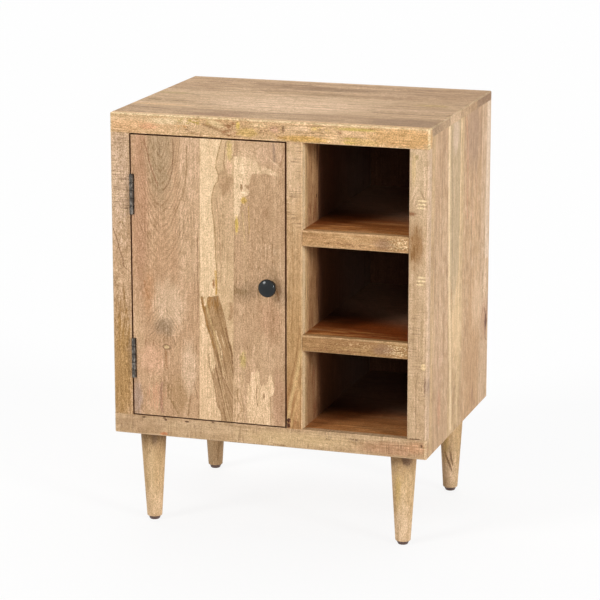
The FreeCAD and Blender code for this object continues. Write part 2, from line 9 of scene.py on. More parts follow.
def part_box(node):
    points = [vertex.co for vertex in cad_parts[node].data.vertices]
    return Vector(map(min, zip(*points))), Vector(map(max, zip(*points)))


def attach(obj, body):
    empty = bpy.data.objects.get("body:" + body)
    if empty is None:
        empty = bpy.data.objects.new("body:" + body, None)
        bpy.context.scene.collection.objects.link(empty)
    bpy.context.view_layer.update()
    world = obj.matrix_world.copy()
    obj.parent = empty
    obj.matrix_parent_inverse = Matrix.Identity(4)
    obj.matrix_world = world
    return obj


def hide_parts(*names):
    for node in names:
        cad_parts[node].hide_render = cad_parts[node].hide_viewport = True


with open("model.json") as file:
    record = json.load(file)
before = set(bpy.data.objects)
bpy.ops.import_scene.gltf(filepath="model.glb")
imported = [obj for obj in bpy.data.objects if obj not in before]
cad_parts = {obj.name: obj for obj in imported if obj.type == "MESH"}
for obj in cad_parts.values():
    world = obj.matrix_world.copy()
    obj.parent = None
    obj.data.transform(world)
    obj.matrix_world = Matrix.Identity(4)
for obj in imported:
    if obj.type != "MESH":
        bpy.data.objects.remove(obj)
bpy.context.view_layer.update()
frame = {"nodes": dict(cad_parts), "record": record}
scene = bpy.context.scene

MM = 0.001
AXES = "xyz"
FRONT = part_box("top_rail")[0].y
FRONT_MM = FRONT / MM
SLOT_OF = {part["node"]: part["material_slot"] for part in frame["record"]["subparts"]}
BODY_OF = {node: body for body, nodes in frame["record"]["behaviour"]["bodies"].items() for node in nodes}


def placed(name, data):
    """A new object in the scene."""
    obj = bpy.data.objects.new(name, data)
    scene.collection.objects.link(obj)
    return obj


def mesh_of(shape, name):
    """The mesh of a bmesh. The bmesh goes."""
    mesh = bpy.data.meshes.new(name)
    shape.to_mesh(mesh)
    shape.free()
    return mesh


# Camera, light and floor

PICTURE_WIDTH = 600
FOCAL_PIXELS = 2660
SENSOR_WIDTH = 36
CAMERA_TILT = 13.60
CAMERA_TURN = 17.80

camera_data = bpy.data.cameras.new("camera")
camera_data.sensor_width = SENSOR_WIDTH
camera_data.lens = SENSOR_WIDTH * FOCAL_PIXELS / PICTURE_WIDTH
camera_data.clip_end = 100
camera = placed("camera", camera_data)
camera.location = (1.2554, -3.9245, 1.3403)
camera.rotation_euler = (math.radians(90 - CAMERA_TILT), 0, math.radians(CAMERA_TURN))
scene.camera = camera
scene.view_settings.view_transform = "Standard"


def sun(name, azimuth, elevation, strength, spread, gleams=True):
    """A soft lamp far away. Azimuth 0 is in front of the table and 90 at its right."""
    lamp = bpy.data.lights.new(name, "SUN")
    lamp.energy = strength
    lamp.angle = math.radians(spread)
    obj = placed(name, lamp)
    obj.visible_glossy = gleams
    obj.rotation_euler = (math.radians(90 - elevation), 0, math.radians(azimuth))


sun("key", -38, 31, 1.17, 17)
sun("fill", 64, 15, 1.66, 15)
sun("front", CAMERA_TURN, CAMERA_TILT, 0.22, 12, gleams=False)
sun("overhead", 170, 68, 0.85, 60, gleams=False)
sun("back", 215, 25, 0.5, 60, gleams=False)


def seen(tree):
    """1 for what the camera sees, also in a mirror or through glass, and 0 for what only lights the object."""
    path = tree.nodes.new("ShaderNodeLightPath")
    total = path.outputs["Is Camera Ray"]
    for ray in ("Is Glossy Ray", "Is Transmission Ray"):
        either = tree.nodes.new("ShaderNodeMath")
        either.operation = "MAXIMUM"
        tree.links.new(total, either.inputs[0])
        tree.links.new(path.outputs[ray], either.inputs[1])
        total = either.outputs[0]
    return total


def show(tree, lighting, shown, output):
    """Lights the object with one shader and shows another to the camera."""
    pick = tree.nodes.new("ShaderNodeMixShader")
    tree.links.new(seen(tree), pick.inputs[0])
    tree.links.new(lighting.outputs[0], pick.inputs[1])
    tree.links.new(shown.outputs[0], pick.inputs[2])
    tree.links.new(pick.outputs[0], tree.nodes[output].inputs["Surface"])


# The strength of the room's light on the table, and of the white that the camera sees
AMBIENT = 0.3
SHOWN_WHITE = 1


def studio():
    """A white room."""
    world = bpy.data.worlds.new("studio")
    scene.world = world
    world.use_nodes = True
    ambient = world.node_tree.nodes["Background"]
    white = world.node_tree.nodes.new("ShaderNodeBackground")
    for background, strength in ((ambient, AMBIENT), (white, SHOWN_WHITE)):
        background.inputs["Color"].default_value = (1, 1, 1, 1)
        background.inputs["Strength"].default_value = strength
    show(world.node_tree, ambient, white, "World Output")


# Half of the floor's width, and how far it lies under the feet
FLOOR_REACH = 40
FLOOR_DROP = 0.0002
# How pale the floor is for the light on the table and for the camera, and how much the camera's floor glows
FLOOR_TONE = 0.82
SHOWN_FLOOR_TONE = 0.98
SHOWN_FLOOR_GLOW = 0.86


def floor():
    """A pale floor that shows the table's soft shadow."""
    shape = bmesh.new()
    bmesh.ops.create_grid(shape, x_segments=4, y_segments=4, size=FLOOR_REACH)
    mesh = mesh_of(shape, "floor")
    obj = placed("floor", mesh)
    obj.location.z = -FLOOR_DROP
    material = bpy.data.materials.new("floor_paint")
    material.use_nodes = True
    tree = material.node_tree
    diffuse, paler = (tree.nodes.new("ShaderNodeBsdfDiffuse") for _ in range(2))
    for paint, tone in ((diffuse, FLOOR_TONE), (paler, SHOWN_FLOOR_TONE)):
        paint.inputs["Color"].default_value = (tone, tone, tone, 1)
    glow = tree.nodes.new("ShaderNodeEmission")
    bright = tree.nodes.new("ShaderNodeMixShader")
    bright.inputs[0].default_value = SHOWN_FLOOR_GLOW
    tree.links.new(paler.outputs[0], bright.inputs[1])
    tree.links.new(glow.outputs[0], bright.inputs[2])
    show(tree, diffuse, bright, "Material Output")
    mesh.materials.append(material)


studio()
floor()


# Materials, written as arithmetic on sockets. Lengths are in millimetres of the row frame.

# The sockets of a Mix node that blends colours
MIX_FIRST, MIX_SECOND, MIX_RESULT = 6, 7, 2


def linear(colour):
    """An sRGB colour such as "e6c39f", as the linear one that a socket takes."""
    parts = [int(colour[i:i + 2], 16) / 255 for i in (0, 2, 4)]
    return tuple(p / 12.92 if p <= 0.04045 else ((p + 0.055) / 1.055) ** 2.4 for p in parts) + (1,)


class Wire:
    """A socket of a material that can be used in arithmetic."""

    def __init__(self, paint, socket):
        self.paint = paint
        self.socket = socket

    def __add__(self, other):
        return self.paint.math("ADD", self, other)

    def __sub__(self, other):
        return self.paint.math("SUBTRACT", self, other)

    def __rsub__(self, other):
        return self.paint.math("SUBTRACT", other, self)

    def __mul__(self, other):
        return self.paint.math("MULTIPLY", self, other)

    def __truediv__(self, other):
        return self.paint.math("DIVIDE", self, other)

    __radd__ = __add__
    __rmul__ = __mul__


class Paint:
    """A procedural material. Its settings are other values of the surface, such as Coat_Weight."""

    def __init__(self, name, colour, roughness=0.5, **settings):
        self.material = bpy.data.materials.new(name)
        self.material.use_nodes = True
        self.tree = self.material.node_tree
        self.surface = self.tree.nodes["Principled BSDF"]
        self.surface.inputs["Roughness"].default_value = roughness
        for setting, value in settings.items():
            self.surface.inputs[setting.replace("_", " ")].default_value = value
        self.colour = linear(colour)
        self.gain = None
        self.height = None
        place = self.node("ShaderNodeTexCoord").outputs["Object"]
        scaled = self.node("ShaderNodeVectorMath", operation="SCALE")
        self.tree.links.new(place, scaled.inputs[0])
        scaled.inputs["Scale"].default_value = 1 / MM
        split = self.node("ShaderNodeSeparateXYZ")
        self.tree.links.new(scaled.outputs[0], split.inputs[0])
        self.x, self.y, self.z = (Wire(self, out) for out in split.outputs)

    def node(self, kind, **settings):
        """A new node of the material."""
        made = self.tree.nodes.new(kind)
        for name, setting in settings.items():
            setattr(made, name, setting)
        return made

    def feed(self, socket, source):
        """Gives a socket a wire or a plain value."""
        if isinstance(source, Wire):
            self.tree.links.new(source.socket, socket)
        else:
            socket.default_value = source

    def fed(self, kind, *sources, **settings):
        """The first output of a new node, whose inputs take the sources in turn."""
        made = self.node(kind, **settings)
        for socket, source in zip(made.inputs, sources):
            self.feed(socket, source)
        return Wire(self, made.outputs[0])

    def math(self, operation, *sources):
        return self.fed("ShaderNodeMath", *sources, operation=operation)

    def vector(self, x, y, z):
        return self.fed("ShaderNodeCombineXYZ", x, y, z)

    def step(self, value, low, high, start=0.0, end=1.0):
        """Runs smoothly from start to end as the value goes from low to high."""
        return self.fed("ShaderNodeMapRange", value, low, high, start, end, interpolation_type="SMOOTHSTEP")

    def noise(self, place, detail=2.0, roughness=0.5):
        """Smooth noise of about 0.2 to 0.8, with cells one unit wide."""
        made = self.node("ShaderNodeTexNoise")
        self.feed(made.inputs["Vector"], place)
        made.inputs["Scale"].default_value = 1
        made.inputs["Detail"].default_value = detail
        made.inputs["Roughness"].default_value = roughness
        return Wire(self, made.outputs["Fac"])

    def specks(self, size, tall=None, detail=2, roughness=0.5):
        """Noise with cells of this size in millimetres, which may be taller than wide."""
        return self.noise(self.vector(self.x / size, self.y / size, self.z / (tall or size)), detail, roughness)

    def tint(self, share, colour):
        """Blends a colour in by a share."""
        made = self.node("ShaderNodeMix", data_type="RGBA")
        self.feed(made.inputs["Factor"], share)
        self.feed(made.inputs[MIX_FIRST], self.colour)
        self.feed(made.inputs[MIX_SECOND], linear(colour))
        self.colour = Wire(self, made.outputs[MIX_RESULT])

    def shade(self, factor):
        """Brightens or darkens everything by a factor. What is darker is also warmer."""
        self.gain = factor if self.gain is None else self.gain * factor

    def attribute(self, name):
        """A value that the mesh carries."""
        made = self.node("ShaderNodeAttribute", attribute_name=name)
        return Wire(self, made.outputs["Fac"])

    def raise_by(self, height):
        """Adds a height in millimetres to the bump."""
        self.height = height if self.height is None else self.height + height

    def finish(self):
        """Wires up the colour and the bump."""
        if self.gain is not None:
            made = self.node("ShaderNodeVectorMath", operation="MULTIPLY")
            self.feed(made.inputs[0], self.colour)
            warm = [self.math("POWER", self.gain, power) for power in (1.1, 1.4)]
            self.feed(made.inputs[1], self.vector(self.gain, *warm))
            self.colour = Wire(self, made.outputs[0])
        self.feed(self.surface.inputs["Base Color"], self.colour)
        bump = self.node("ShaderNodeBump")
        bump.inputs["Strength"].default_value = 1
        bump.inputs["Distance"].default_value = MM
        self.feed(bump.inputs["Height"], self.height)
        self.tree.links.new(bump.outputs[0], self.surface.inputs["Normal"])
        return self.material


CREAM = "eacba0"
PALE = "debd93"
BROWN = "a67f5a"
DARK = "705036"
# The painted shade of the gaps round the door
DOOR_GAP_SHADE = "723a1c"


class Wood(Paint):
    """A board of light mango wood, with its grain along one axis and its planks side by side on another.

    Each plank after the first is its edge, across the grain, and its tone. The places of marks are (along the
    grain, across it).
    """

    def __init__(self, name, along, across, tone, seed, second=BROWN, pale=PALE, mottle=0.5, planks=(),
                 grain=1.0, grit=1.0, sway=5.0, sawing=1.0):
        super().__init__(name, tone, roughness=0.55, Specular_IOR_Level=0.1)
        self.u, self.v, self.w = (
            getattr(self, axis) for axis in (along, across, AXES.replace(along, "").replace(across, "")))
        self.fields = {}
        # Each board and each plank takes another part of the noise, along the grain
        start = self.node("ShaderNodeValue").outputs[0]
        start.default_value = seed * 137.0
        shift = Wire(self, start)
        for edge, plank_tone in planks:
            past = self.step(self.v, edge - 0.4, edge + 0.4)
            self.tint(past, plank_tone)
            shift = shift + past * 211.0
        self.along = self.u + shift
        drift = self.cells(self.along, 150, 34) - 0.5
        self.bent = self.v + drift * (2 * sway)
        self.deep = self.w + drift * sway
        # Broad bands, then clouds
        broad = self.field(130, 15, 3)
        self.tint(self.step(broad, 0.42, 0.66, 0.0, mottle), second)
        self.tint(self.step(broad, 0.50, 0.30, 0.0, mottle * 0.6), pale)
        cloud = self.field(20, 11, 3)
        self.shade(self.step(cloud, 0.3, 0.7, 1.08, 0.92))
        # Growth lines, flecks and pores
        busy = self.step(self.field(80, 24), 0.38, 0.62, 0.35, 1.3)
        lines = self.field(240, 2.4, 3)
        fleck = self.field(9, 2.3, 2)
        pores = self.step(self.field(7, 0.55, 0), 0.66, 0.74)
        streaks = (lines - 0.5) * (0.75 * grain) + (fleck - 0.5) * (0.55 * grit) + pores * (0.16 * grain)
        self.shade(1 - streaks * busy)
        grains = self.noise(self.vector(self.along / 2.1, self.bent / 1.6, self.deep / 1.6), 2, 0.7)
        self.shade(self.step(grains, 0.3, 0.7, 1 - 0.19 * grit, 1 + 0.19 * grit))
        # Ripples left by the saw, across the grain
        ripple = self.cells(self.u, 1.9, 11)
        sawn = self.step(self.cells(self.along, 40, 17), 0.4, 0.6, 0.3, 1.1)
        self.shade(1 + (ripple - 0.5) * sawn * (0.3 * sawing))
        self.raise_by(pores * -0.12)
        self.raise_by(lines * 0.08)
        self.raise_by(ripple * (0.12 * sawing))

    def cells(self, along, long, wide):
        """Plain noise with straight cells of these sizes in millimetres."""
        return self.noise(self.vector(along / long, self.v / wide, self.w / wide), 1)

    def field(self, long, wide, detail=2):
        """Noise whose cells follow the grain, of these sizes in millimetres. It is made once and shared."""
        size = (long, wide, detail)
        if size not in self.fields:
            place = self.vector(self.along / long, self.bent / wide, self.deep / wide)
            self.fields[size] = self.noise(place, detail, 0.6)
        return self.fields[size]

    def behind(self, start, end, *ends):
        """0 in front and 1 further back, with depths behind the table's front."""
        return self.step(self.y, FRONT_MM + start, FRONT_MM + end, *ends)

    def near(self, at, reach, rough=0.25, turn=0.0, soft=0.25):
        """1 inside an ellipse with an uneven edge and 0 outside."""
        du = self.u - at[0]
        dv = self.v - at[1]
        if turn:
            c, s = math.cos(math.radians(turn)), math.sin(math.radians(turn))
            du, dv = du * c + dv * s, dv * c - du * s
        length = self.node("ShaderNodeVectorMath", operation="LENGTH")
        self.feed(length.inputs[0], self.vector(du / reach[0], dv / reach[1], 0.0))
        small = min(reach[0] / 8, reach[1] / 5)
        uneven = self.field(3, 2) if small < 1 else self.field(7, 4) if small < 2 else self.field(14, 8)
        distance = Wire(self, length.outputs["Value"]) + (uneven - 0.5) * (4 * rough)
        return self.step(distance, 1 + soft, 1 - soft)

    def spot(self, at, reach, colour, strength, rough=0.25, soft=0.5, turn=0.0):
        """A patch of another colour."""
        self.tint(self.near(at, reach, rough, turn, soft) * strength, colour)

    def course(self, points, by=None):
        """The height of a line drawn through points, over the place along the grain or over another place."""
        points = sorted(points)
        first, last = points[0][0], points[-1][0]
        low = min(p[1] for p in points) - 1
        high = max(p[1] for p in points) + 1
        made = self.node("ShaderNodeFloatCurve")
        curve = made.mapping.curves[0]
        drawn = [((a - first) / (last - first), (b - low) / (high - low)) for a, b in points]
        curve.points[0].location = drawn[0]
        curve.points[1].location = drawn[-1]
        for a, b in drawn[1:-1]:
            curve.points.new(a, b)
        made.mapping.update()
        by = self.u if by is None else by
        self.feed(made.inputs["Value"], (by - first) / (last - first))
        return Wire(self, made.outputs[0]) * (high - low) + low

    def ragged(self, size):
        """An uneven offset of about this size in millimetres, for an edge."""
        return (self.field(7, 4) - 0.5) * (4 * size)

    def line(self, points, width, colour, strength=0.7, soft=0.6, breaks=0.5, stray=0.4):
        """A grain line through points."""
        offset = self.v - self.course(points) + self.ragged(stray)
        away = self.math("ABSOLUTE", offset)
        low, high = min(p[0] for p in points), max(p[0] for p in points)
        mask = self.step(away, width / 2 + soft, width / 2 - soft)
        mask = mask * self.step(self.u, low - 2, low + 2) * self.step(self.u, high + 2, high - 2)
        mask = mask * self.step(self.field(3, 2), 0.35, 0.55, 1 - breaks, 1)
        self.tint(mask * strength, colour)

    def between(self, left, right, reach, rough=0.6, soft=0.5):
        """1 between two lines, each a number or points, from one place along the grain to another."""
        uneven = self.v + self.ragged(rough)
        place = self.u - self.ragged(rough * 1.6)
        low, high = reach
        mask = self.step(place, low - soft, low + soft) * self.step(place, high + soft, high - soft)
        for side, sign in ((left, 1), (right, -1)):
            edge = side if isinstance(side, (int, float)) else self.course(side)
            mask = mask * self.step((uneven - edge) * sign, -soft, soft)
        return mask

    def figure(self, at, reach, colour, strength, cells, cover=0.5, crisp=0.08):
        """Patches with crisp edges in an area that fades out. cells is how long and wide they are."""
        area = self.near(at, reach, rough=0.1, soft=0.5)
        level = 0.76 - 0.42 * cover
        mask = self.step(self.field(*cells, 3) + area * 0.35 - 0.35, level - crisp, level + crisp)
        self.tint(mask * strength, colour)

    def arcs(self, at, stretch, spacing, area, strength, colour, point=2.0, wander=1.0, low=None):
        """Growth rings cut flat: nested arcs round a point, drawn out along the grain."""
        drift = self.field(26, 16) - 0.5
        shake = self.field(7, 4) - 0.5
        du = self.math("POWER", self.math("ABSOLUTE", (self.u - at[0]) / stretch), point)
        dv = self.math("POWER", self.math("ABSOLUTE", self.v - at[1]), point)
        radius = self.math("POWER", du + dv, 1 / point) + drift * (4 * wander) + shake * wander
        turn = self.math("FRACT", radius / spacing)
        dark = self.step(turn, 0.34, 0.0) + self.step(turn, 0.74, 1.0)
        each = self.noise(self.vector(radius / (spacing * 1.3), self.u / 70, at[0] * 0.37), 1)
        strong = self.step(each, 0.36, 0.62, 0.25, 1.0)
        where = self.near(*area, rough=0.12, soft=0.45)
        if low is not None:
            where = where * self.step(self.u, low - 2, low + 2)
        broken = self.step(self.field(14, 8), 0.36, 0.6, 0.15, 1.0)
        self.tint(dark * strong * where * broken * strength, colour)
        self.shade(1 + self.step(turn, 0.3, 0.55) * self.step(turn, 0.85, 0.6) * where * (strength * 0.16))

    def saw_marks(self, strength, where=None):
        """Fine marks across the grain, left by the saw."""
        marks = self.cells(self.u, 1.5, 24)
        patch = self.step(self.field(26, 16), 0.38, 0.58)
        dark = self.step(marks, 0.54, 0.68) * patch
        light = self.step(marks, 0.46, 0.30) * patch
        if where is not None:
            dark = dark * where
            light = light * where
        self.tint(dark * strength, DARK)
        self.tint(light * (strength * 0.8), CREAM)
        self.raise_by(dark * -0.15)

    def worn_and_highlit(self, colour=CREAM, strength=0.55):
        """Paler wood on the rounded edges, partly wear and partly a painted highlight, and a darker line at the
        joints.
        """
        edge = self.attribute("worn_and_highlit")
        rubbed = self.step(self.field(14, 8), 0.3, 0.6, 0.35, 1)
        self.tint(edge * rubbed * strength, colour)
        self.tint(self.attribute("seam") * 0.55, DARK)

    def painted_depth_shade(self, start, end, colour, warm, warmth, slant=0.0):
        """Painted shade of the inside, which begins behind the front: a warmer tone, then a dark colour further
        back, where little light reaches. A slant moves it back at the right, where light reaches deeper.
        """
        place = self.y + (self.field(60, 14) - 0.5) * 50 - self.x * slant
        start, end = FRONT_MM + start, FRONT_MM + end
        self.tint(self.step(place, start, start + 30, 0.0, warmth), warm)
        self.tint(self.step(place, start + 10, end), colour)

    def gap(self, inside, strength=1.0):
        """Painted shade on the faces round the door, behind the front, where the gaps are."""
        self.tint(self.behind(0.4, 1.0) * inside * strength, DOOR_GAP_SHADE)


# Mesh helpers

def finished(name, mesh, node, materials):
    """Puts a mesh in the scene in place of a CAD node."""
    for material in materials:
        mesh.materials.append(material)
    obj = placed(name, mesh)
    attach(obj, BODY_OF[node])
    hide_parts(node)
    return obj


def applied(obj):
    """The mesh of an object with its modifiers applied. The object goes."""
    bpy.context.view_layer.update()
    mesh = bpy.data.meshes.new_from_object(obj.evaluated_get(bpy.context.evaluated_depsgraph_get()))
    old = obj.data
    bpy.data.objects.remove(obj)
    bpy.data.meshes.remove(old)
    return mesh


def cuboid(low, high):
    """A bmesh block."""
    shape = bmesh.new()
    bmesh.ops.create_cube(shape, size=1)
    for vert in shape.verts:
        vert.co = [(low[i] if vert.co[i] < 0 else high[i]) for i in range(3)]
    return shape


def block(low, high):
    """A bare block, for cutting with."""
    return mesh_of(cuboid(low, high), "block")


def bar(radius, low, high):
    """A bare upright round bar, for cutting with."""
    shape = bmesh.new()
    middle = (Vector(low) + Vector(high)) / 2
    bmesh.ops.create_cone(shape, cap_ends=True, segments=48, radius1=radius, radius2=radius,
                          depth=high[2] - low[2], matrix=Matrix.Translation(middle))
    return mesh_of(shape, "bar")


# The length of the slices of a board whose edges wobble, and the largest radius of an edge
SLICE = 0.02
BIGGEST = 0.004
BEVEL_SEGMENTS = 4
# The radius of a joint's edges in millimetres, and the widest face of such an edge, in radii
PLAIN = 0.15
JOINT_FACE = 0.55
# How near two coordinates are that count as the same
NEAR = 1e-6


def sides_of(edge, low, high):
    """The sides of its box that an edge lies in, such as {"-x", "+z"}."""
    found = set()
    for i, axis in enumerate(AXES):
        for sign, corner in (("-", low), ("+", high)):
            if all(abs(v.co[i] - corner[i]) < NEAR for v in edge.verts):
                found.add(sign + axis)
    return found


def sliced(shape, low, high, axis):
    """Cuts a board into slices along an axis."""
    normal = Vector([float(i == axis) for i in range(3)])
    steps = max(1, round((high[axis] - low[axis]) / SLICE))
    for step in range(1, steps):
        spot = low[axis] + (high[axis] - low[axis]) * step / steps
        bmesh.ops.bisect_plane(shape, geom=[*shape.verts, *shape.edges, *shape.faces],
                               plane_co=normal * spot, plane_no=normal)


def wobbled(mesh, low, high, axis, wobble, seed):
    """Presses the edges along an axis in by up to the wobble, in millimetres."""
    for vert in mesh.vertices:
        inward = Vector((0, 0, 0))
        for i in range(3):
            if NEAR < vert.co[i] - low[i] < BIGGEST:
                inward[i] = 1
            if NEAR < high[i] - vert.co[i] < BIGGEST:
                inward[i] = -1
        if sum(abs(c) for c in inward) >= 2:
            inward[axis] = 0
            amount = 0.5 + 0.5 * noise.noise(vert.co * 45 + Vector((seed, 0, 0)))
            vert.co += inward * (wobble * MM * max(0.0, amount))


def cut_out(mesh, cuts):
    """The mesh with other meshes cut out of it."""
    obj = placed("board", mesh)
    tools = [placed("tool", cut) for cut in cuts]
    for tool in tools:
        boolean = obj.modifiers.new("cut", "BOOLEAN")
        boolean.operation = "DIFFERENCE"
        boolean.solver = "EXACT"
        boolean.object = tool
    mesh = applied(obj)
    for tool in tools:
        bpy.data.objects.remove(tool)
    return mesh


def marked_edges(mesh, joint_face):
    """Marks the rounded edges for paler wear and a painted highlight, and those no wider than a joint's as
    seams, for the paint.
    """
    worn_and_highlit = mesh.attributes.new("worn_and_highlit", "FLOAT", "CORNER")
    seam = mesh.attributes.new("seam", "FLOAT", "CORNER")
    for polygon in mesh.polygons:
        flat = max(abs(c) for c in polygon.normal) > 0.9995
        polygon.use_smooth = not flat
        width = min((mesh.vertices[a].co - mesh.vertices[b].co).length for a, b in polygon.edge_keys)
        for corner in polygon.loop_indices:
            worn_and_highlit.data[corner].value = float(not flat and width >= joint_face)
            seam.data[corner].value = float(not flat and width < joint_face)


def rounded(low, high, rounds, plain=PLAIN, cuts=(), wobble=0.0, seed=0):
    """A board with rounded edges. rounds has the radius in millimetres of the edge between two sides, such as
    "-y+z". The other edges are the board's joints. cuts are meshes taken out of it."""
    shape = cuboid(low, high)
    longest = max(range(3), key=lambda i: high[i] - low[i])
    if wobble:
        sliced(shape, low, high, longest)
    weights = shape.edges.layers.float.new("bevel_weight_edge")
    wanted = {frozenset((key[:2], key[2:])): radius for key, radius in rounds.items()}
    for edge in shape.edges:
        sides = sides_of(edge, low, high)
        if len(sides) == 2:
            edge[weights] = wanted.get(frozenset(sides), plain) * MM / BIGGEST
    obj = placed("board", mesh_of(shape, "board"))
    bevel = obj.modifiers.new("bevel", "BEVEL")
    bevel.width = BIGGEST
    bevel.limit_method = "WEIGHT"
    bevel.segments = BEVEL_SEGMENTS
    mesh = applied(obj)
    if wobble:
        wobbled(mesh, low, high, longest, wobble, seed)
    if cuts:
        mesh = cut_out(mesh, cuts)
    marked_edges(mesh, plain * MM * JOINT_FACE)
    return mesh


def inside_faces(mesh, inner, lies_inside):
    """Gives the second material to the flat faces that look into the case."""
    for polygon in mesh.polygons:
        for side in inner:
            sign = 1 if side[0] == "+" else -1
            if polygon.normal[AXES.index(side[1])] * sign > 0.99 and lies_inside(polygon.center):
                polygon.material_index = 1


SHARP = math.radians(38)


def lathe(profile, segments=64, at=(0, 0, 0), way=Matrix.Identity(4)):
    """A turned shape: (radius, height) points in metres, from the axis back to the axis or in a ring."""
    shape = bmesh.new()
    rings = []
    for radius, height in profile:
        count = segments if radius else 1
        angles = [2 * math.pi * k / segments for k in range(count)]
        rings.append([shape.verts.new((radius * math.cos(a), radius * math.sin(a), height)) for a in angles])
    pairs = list(zip(rings, rings[1:]))
    if profile[0][0]:
        pairs.append((rings[-1], rings[0]))
    for lower, upper in pairs:
        for k in range(segments):
            j = (k + 1) % segments
            corners = []
            for ring, at_corner in ((lower, k), (lower, j), (upper, j), (upper, k)):
                vert = ring[at_corner % len(ring)]
                if vert not in corners:
                    corners.append(vert)
            if len(corners) > 2:
                shape.faces.new(corners)
    bmesh.ops.recalc_face_normals(shape, faces=shape.faces)
    bmesh.ops.transform(shape, matrix=Matrix.Translation(at) @ way, verts=shape.verts)
    mesh = mesh_of(shape, "turned")
    for polygon in mesh.polygons:
        polygon.use_smooth = True
    mesh.set_sharp_from_angle(angle=SHARP)
    return mesh


def joined(meshes):
    """Several meshes as one."""
    shape = bmesh.new()
    for mesh in meshes:
        shape.from_mesh(mesh)
    result = mesh_of(shape, "joined")
    result.set_sharp_from_angle(angle=SHARP)
    return result


# The wood of each board

def top_wood():
    """Three planks. The middle one is pale."""
    w = Wood("top_wood", "x", "y", "c6a480", 1, second="a68362", mottle=0.5, grain=1.7, grit=1.5, sway=4,
             sawing=0.25, planks=((-105, "d8b58f"), (68, "caa681")))
    w.spot((-10, -30), (126, 66), "e6c39f", 0.9, rough=0.15, soft=0.35)
    w.figure((-212, -38), (46, 18), "9c7e56", 0.85, (30, 6), cover=0.55, crisp=0.06)
    w.spot((-212, -84), (52, 9), "e8c094", 0.85, soft=0.3)
    w.line(((-253, -104), (-202, -117), (-151, -137), (-110, -143)), 4, "967254", soft=2)
    w.figure((-190, -165), (80, 22), "ac896a", 0.6, (50, 7))
    w.spot((-90, -154), (46, 20), "a68062", 0.7, rough=0.3)
    w.line(((-70, -122), (0, -112), (47, -108), (165, -94)), 5, "967658", soft=2.5)
    w.figure((-70, 140), (90, 34), "9c7958", 0.85, (60, 9), cover=0.62)
    w.spot((20, 128), (66, 16), "987756", 0.75, rough=0.3)
    w.spot((10, 80), (70, 14), "b89670", 0.6)
    w.line(((-212, 31), (-196, 24), (-176, 17)), 4, "8a6a4c", soft=1.5)
    w.spot((-226, 28), (34, 9), "c6aa78", 0.6, rough=0.4, soft=0.4)
    w.figure((-190, 120), (60, 60), "a88460", 0.8, (40, 8), cover=0.45)
    w.figure((120, 90), (76, 44), "a88462", 0.8, (26, 9), cover=0.52, crisp=0.1)
    w.figure((-170, 60), (90, 60), "debe9a", 0.6, (50, 7), cover=0.45)
    w.figure((150, 130), (120, 70), "e0be9a", 0.7, (60, 7), cover=0.46)
    w.figure((190, 150), (90, 50), "987656", 0.7, (50, 6), cover=0.46)
    w.spot((106, 28), (36, 28), "e0be99", 0.6)
    w.spot((202, 28), (28, 9), "c2a56a", 0.8, rough=0.4, soft=0.4)
    w.spot((184, -22), (64, 12), "d8b592", 0.6)
    w.line(((130, -56), (198, -61), (253, -52)), 5, "987a5e", 0.75, soft=2)
    w.spot((205, -137), (60, 34), "9c7e62", 0.8, soft=0.4)
    w.spot((0, 197), (300, 6), "debc98", 0.7, soft=0.4)
    w.tint(w.step(w.x, 20, 190) * 0.3, "9e7a56")
    end = w.step(w.x, 252, 253)
    w.tint(end * w.step(w.y, -60, -54) * w.step(w.y, 8, 0) * 0.8, "e0be9a")
    w.tint(end * w.step(w.y, -54, -60) * 0.5, "b89a7a")
    w.tint(end * w.step(w.y, 104, 120) * 0.65, "907058")
    w.worn_and_highlit(strength=0.4)
    w.shade(0.92)
    return w.finish()


